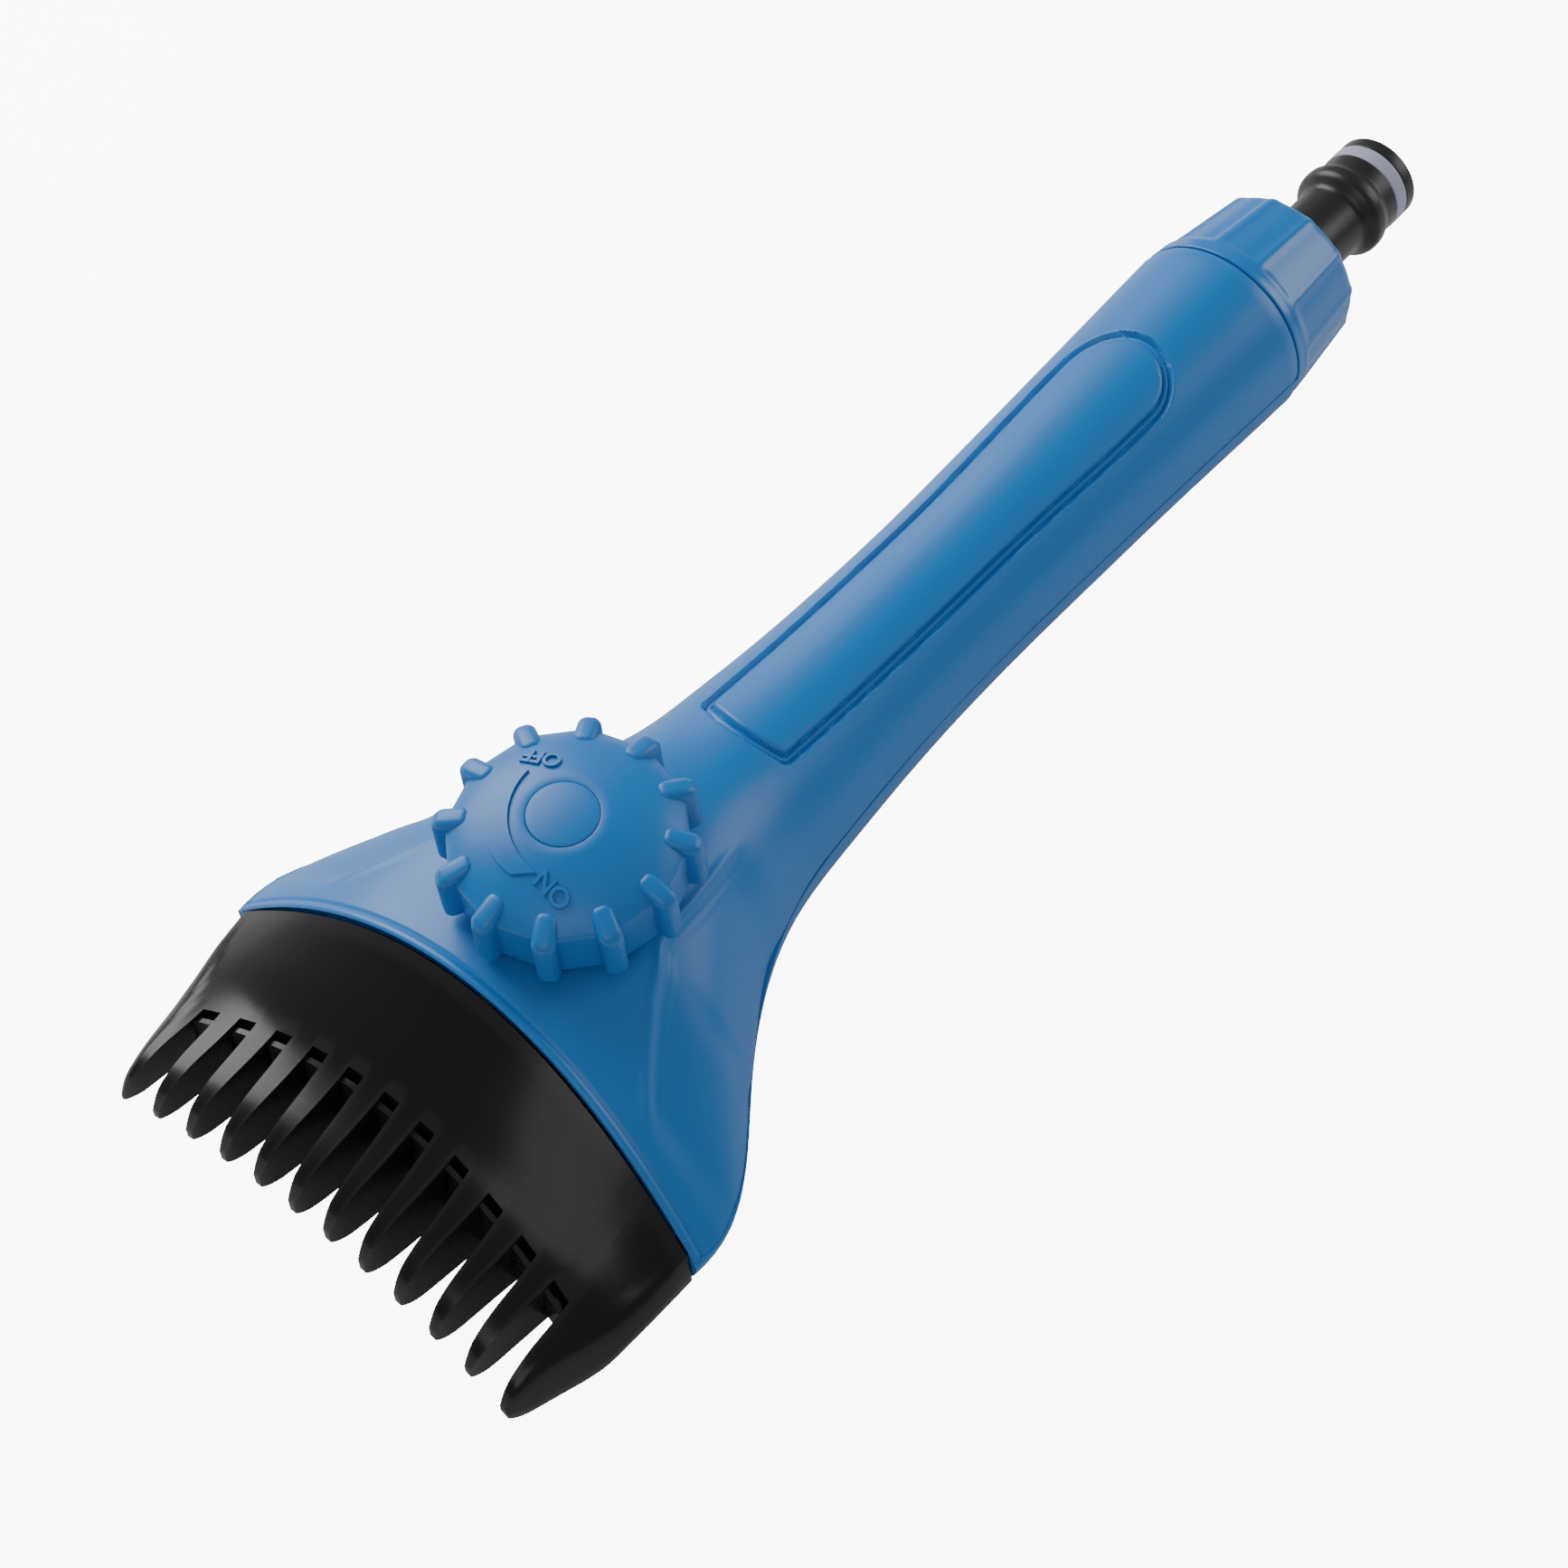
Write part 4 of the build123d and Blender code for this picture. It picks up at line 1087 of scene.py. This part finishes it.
# ------------------------------------------------------------------ hose end
@dataclass
class HoseEnd:
    """The fluted collar nut and the quick-connect spigot with its flat seal."""

    layout: Layout
    flutes: int = 12
    flute_depth: float = 0.34
    flute_half_angle: float = 13.4
    collar_front: float = 28.0
    collar_back: float = 47.9
    band: float = 3.2
    water_r: float = 4.6
    nose_r: float = 7.9
    neck_r: float = 6.8
    bead_r: float = 8.65
    bore_r: float = 7.15
    bore_end: float = 30.05
    mouth_r: float = 12.35
    grip_r: float = 16.5
    grip_taper: float = 1.8
    band_r: float = 16.8
    groove_r: float = 6.3
    flange_r: float = 10.6
    flange: Tuple[float, float] = (30.2, 32.6)
    steps_round: int = 120

    def matrix(self) -> Matrix:
        """Carry local millimetres, with Z as the distance back from the hose end, to the row frame."""
        basis = Matrix(((0.0, 0.0, -1.0), (0.0, 1.0, 0.0), (1.0, 0.0, 0.0))).to_4x4()
        place = Matrix.Translation((self.layout.hose_x, 0.0, self.layout.axis_z))
        return place @ basis @ Matrix.Scale(MM, 4)

    def build(self) -> None:
        """Build and dress the collar, the spigot and the seal."""
        finish_piece(
            self.collar(), Role("collar_grip", "nut_body", "blue_collar", ("collar_nut",), BLUE_COLLAR), 34.0
        )
        finish_piece(
            self.spigot(),
            Role("spigot_plug", "spigot_body", "black_fitting", ("hose_spigot",), BLACK_FITTING), 30.0,
        )
        finish_piece(
            self.seal(), Role("flat_seal", "spigot_body", "grey_rubber", ("spigot_seal",), PALE_SEAL), 30.0
        )

    def collar(self) -> bmesh.types.BMesh:
        """Turn the collar and hollow its flutes."""
        steps = 26
        back, front = self.collar_back - self.band, self.collar_front + 1.6
        outside = [(self.grip_r - self.grip_taper * t / steps, back - (back - front) * t / steps, 0.0)
                   for t in range(steps + 1)]
        fine = [(16.55, self.collar_back - self.band + 0.6 * t, 0.0) for t in (3, 2, 1)]
        outline = [(self.mouth_r, self.collar_back, 0.0), (self.band_r, self.collar_back, 0.4),
                   *fine, *outside,
                   (14.2, self.collar_front + 0.5, 0.5), (13.0, self.collar_front, 0.8),
                   (self.bore_r, self.collar_front, 0.3), (self.bore_r, self.bore_end, 0.0),
                   (self.mouth_r, self.bore_end, 0.0)]
        shape = lathe(rounded(outline), Matrix.Identity(4), self.flutes * 24)
        step = 2 * pi / self.flutes
        half = radians(self.flute_half_angle)
        for vertex in shape.verts:
            reach, d = hypot(vertex.co.x, vertex.co.y), vertex.co.z
            if reach < 12.6:
                continue
            angle = (atan2(vertex.co.x, vertex.co.y) + step / 2) % step - step / 2
            bowl = max(0.0, 1.0 - abs(angle / half) ** 5)
            fade = (1.0 - smooth_step(back - 0.3, back + 0.4, d)) * smooth_step(12.6, 14.2, reach)
            sink = 1.0 - self.flute_depth * bowl * fade / reach
            vertex.co.x *= sink
            vertex.co.y *= sink
        bmesh.ops.transform(shape, matrix=self.matrix(), verts=shape.verts)
        bmesh.ops.recalc_face_normals(shape, faces=shape.faces)
        return shape

    def spigot(self) -> bmesh.types.BMesh:
        """Turn the spigot: nose, bead, neck and hidden flange."""
        outline = [(self.water_r, 0.0, 0.5), (self.nose_r, 0.0, 0.6), (self.nose_r, 2.55, 0.15),
                   (self.groove_r, 2.55, 0.0), (self.groove_r, 5.65, 0.0), (self.nose_r, 5.65, 0.15),
                   (7.75, 8.6, 0.5),
                   (self.bead_r, 10.0, 0.9), (self.bead_r, 12.4, 0.9), (self.neck_r - 0.1, 14.0, 0.8),
                   (self.neck_r - 0.2, 22.0, 3.0), (self.neck_r, self.flange[0], 0.0),
                   (self.flange_r, self.flange[0], 0.0), (self.flange_r, self.flange[1], 0.0),
                   (self.water_r, self.flange[1], 0.0)]
        return lathe(rounded(outline), self.matrix(), self.steps_round)

    def seal(self) -> bmesh.types.BMesh:
        """Turn the flat seal in its groove."""
        proud, root = self.nose_r + 0.03, 6.32
        outline = [(root, 2.62, 0.0), (proud, 2.62, 0.3), (proud, 5.58, 0.3), (root, 5.58, 0.0)]
        return lathe(rounded(outline), self.matrix(), self.steps_round)


# ------------------------------------------------------------------ parts kept from the frame
def dress_works() -> None:
    """Give each CAD piece that shows as it is its material."""
    for finish, names in CAD_FINISHES:
        for name in names:
            node = frame["nodes"][name]
            node.data.materials.clear()
            node.data.materials.append(finish.material())
            LOG.info("%s: kept, %s", name, finish.name)


# ------------------------------------------------------------------ studio
@dataclass
class Studio:
    """Floor, light and camera."""

    lens: float = 72.154
    eye: Tuple[float, float, float] = (-0.240827, -0.184872, 0.415062)
    right: Tuple[float, float, float] = (0.648249, -0.761391, -0.007520)
    down: Tuple[float, float, float] = (-0.627743, -0.528819, -0.571217)
    forward: Tuple[float, float, float] = (0.430943, 0.375011, -0.820765)
    floor_size: float = 3.0
    sky: float = 0.35
    floor_glow: float = 9.0

    def build(self) -> None:
        """Make the floor, the lights and the camera."""
        self.floor()
        self.world()
        self.light("key", (0.10, 0.85, 0.60), 0.8, 14.0)
        self.light("fill", (-0.75, -0.45, 0.85), 0.7, 2.4)
        self.light("rim", (0.85, -0.45, 0.45), 0.5, 3.0)
        self.camera()

    def floor(self) -> None:
        """Lay the pale floor just under the part."""
        shape = bmesh.new()
        bmesh.ops.create_grid(shape, x_segments=1, y_segments=1, size=self.floor_size / 2)
        mesh = bpy.data.meshes.new("floor")
        shape.to_mesh(mesh)
        shape.free()
        mesh.materials.append(self.floor_material())
        floor = bpy.data.objects.new("floor", mesh)
        bpy.context.scene.collection.objects.link(floor)

    def floor_material(self) -> bpy.types.Material:
        """Make the pale floor, which looks lit evenly but throws little light back."""
        material = PALE_FLOOR.material()
        nodes, links = material.node_tree.nodes, material.node_tree.links
        path = nodes.new("ShaderNodeLightPath")
        glow = nodes.new("ShaderNodeMath")
        glow.operation = "MULTIPLY"
        glow.inputs[1].default_value = self.floor_glow
        shader = nodes["Principled BSDF"]
        shader.inputs["Emission Color"].default_value = (1.0, 1.0, 1.0, 1.0)
        links.new(path.outputs["Is Camera Ray"], glow.inputs[0])
        links.new(glow.outputs[0], shader.inputs["Emission Strength"])
        return material

    def world(self) -> None:
        """Fill the room with even, pale light."""
        world = bpy.data.worlds.new("room")
        world.use_nodes = True
        background = world.node_tree.nodes["Background"]
        background.inputs["Color"].default_value = (0.95, 0.97, 1.0, 1.0)
        background.inputs["Strength"].default_value = self.sky
        bpy.context.scene.world = world

    def light(self, name: str, place: Tuple[float, float, float], size: float, power: float) -> None:
        """Hang a soft square light that faces the part.

        Args:
            name: Name of the light.
            place: Its centre, metres.
            size: Side of the square, metres.
            power: Power in watts.
        """
        lamp = bpy.data.lights.new(name, "AREA")
        lamp.size, lamp.energy = size, power
        holder = bpy.data.objects.new(name, lamp)
        holder.location = place
        holder.rotation_mode = "QUATERNION"
        holder.rotation_quaternion = Vector(place).to_track_quat("Z", "Y")
        bpy.context.scene.collection.objects.link(holder)

    def camera(self) -> None:
        """Set the camera."""
        data = bpy.data.cameras.new("camera")
        data.lens, data.sensor_width = self.lens, 36.0
        data.clip_start, data.clip_end = 0.01, 20.0
        camera = bpy.data.objects.new("camera", data)
        axes = Matrix((Vector(self.right), -Vector(self.down), -Vector(self.forward))).transposed()
        camera.matrix_world = Matrix.Translation(self.eye) @ axes.to_4x4()
        bpy.context.scene.collection.objects.link(camera)
        bpy.context.scene.camera = camera


def main() -> None:
    """Build every piece in order and report it."""
    logging.basicConfig(level=logging.INFO, format="%(message)s")
    for group in (build_grain, build_tone, build_edge):
        group()
    layout = read_layout()
    Casing(layout).build()
    Comb(layout).build()
    Knob(layout).build()
    HoseEnd(layout).build()
    dress_works()
    Studio().build()


if __name__ == "__main__":
    main()
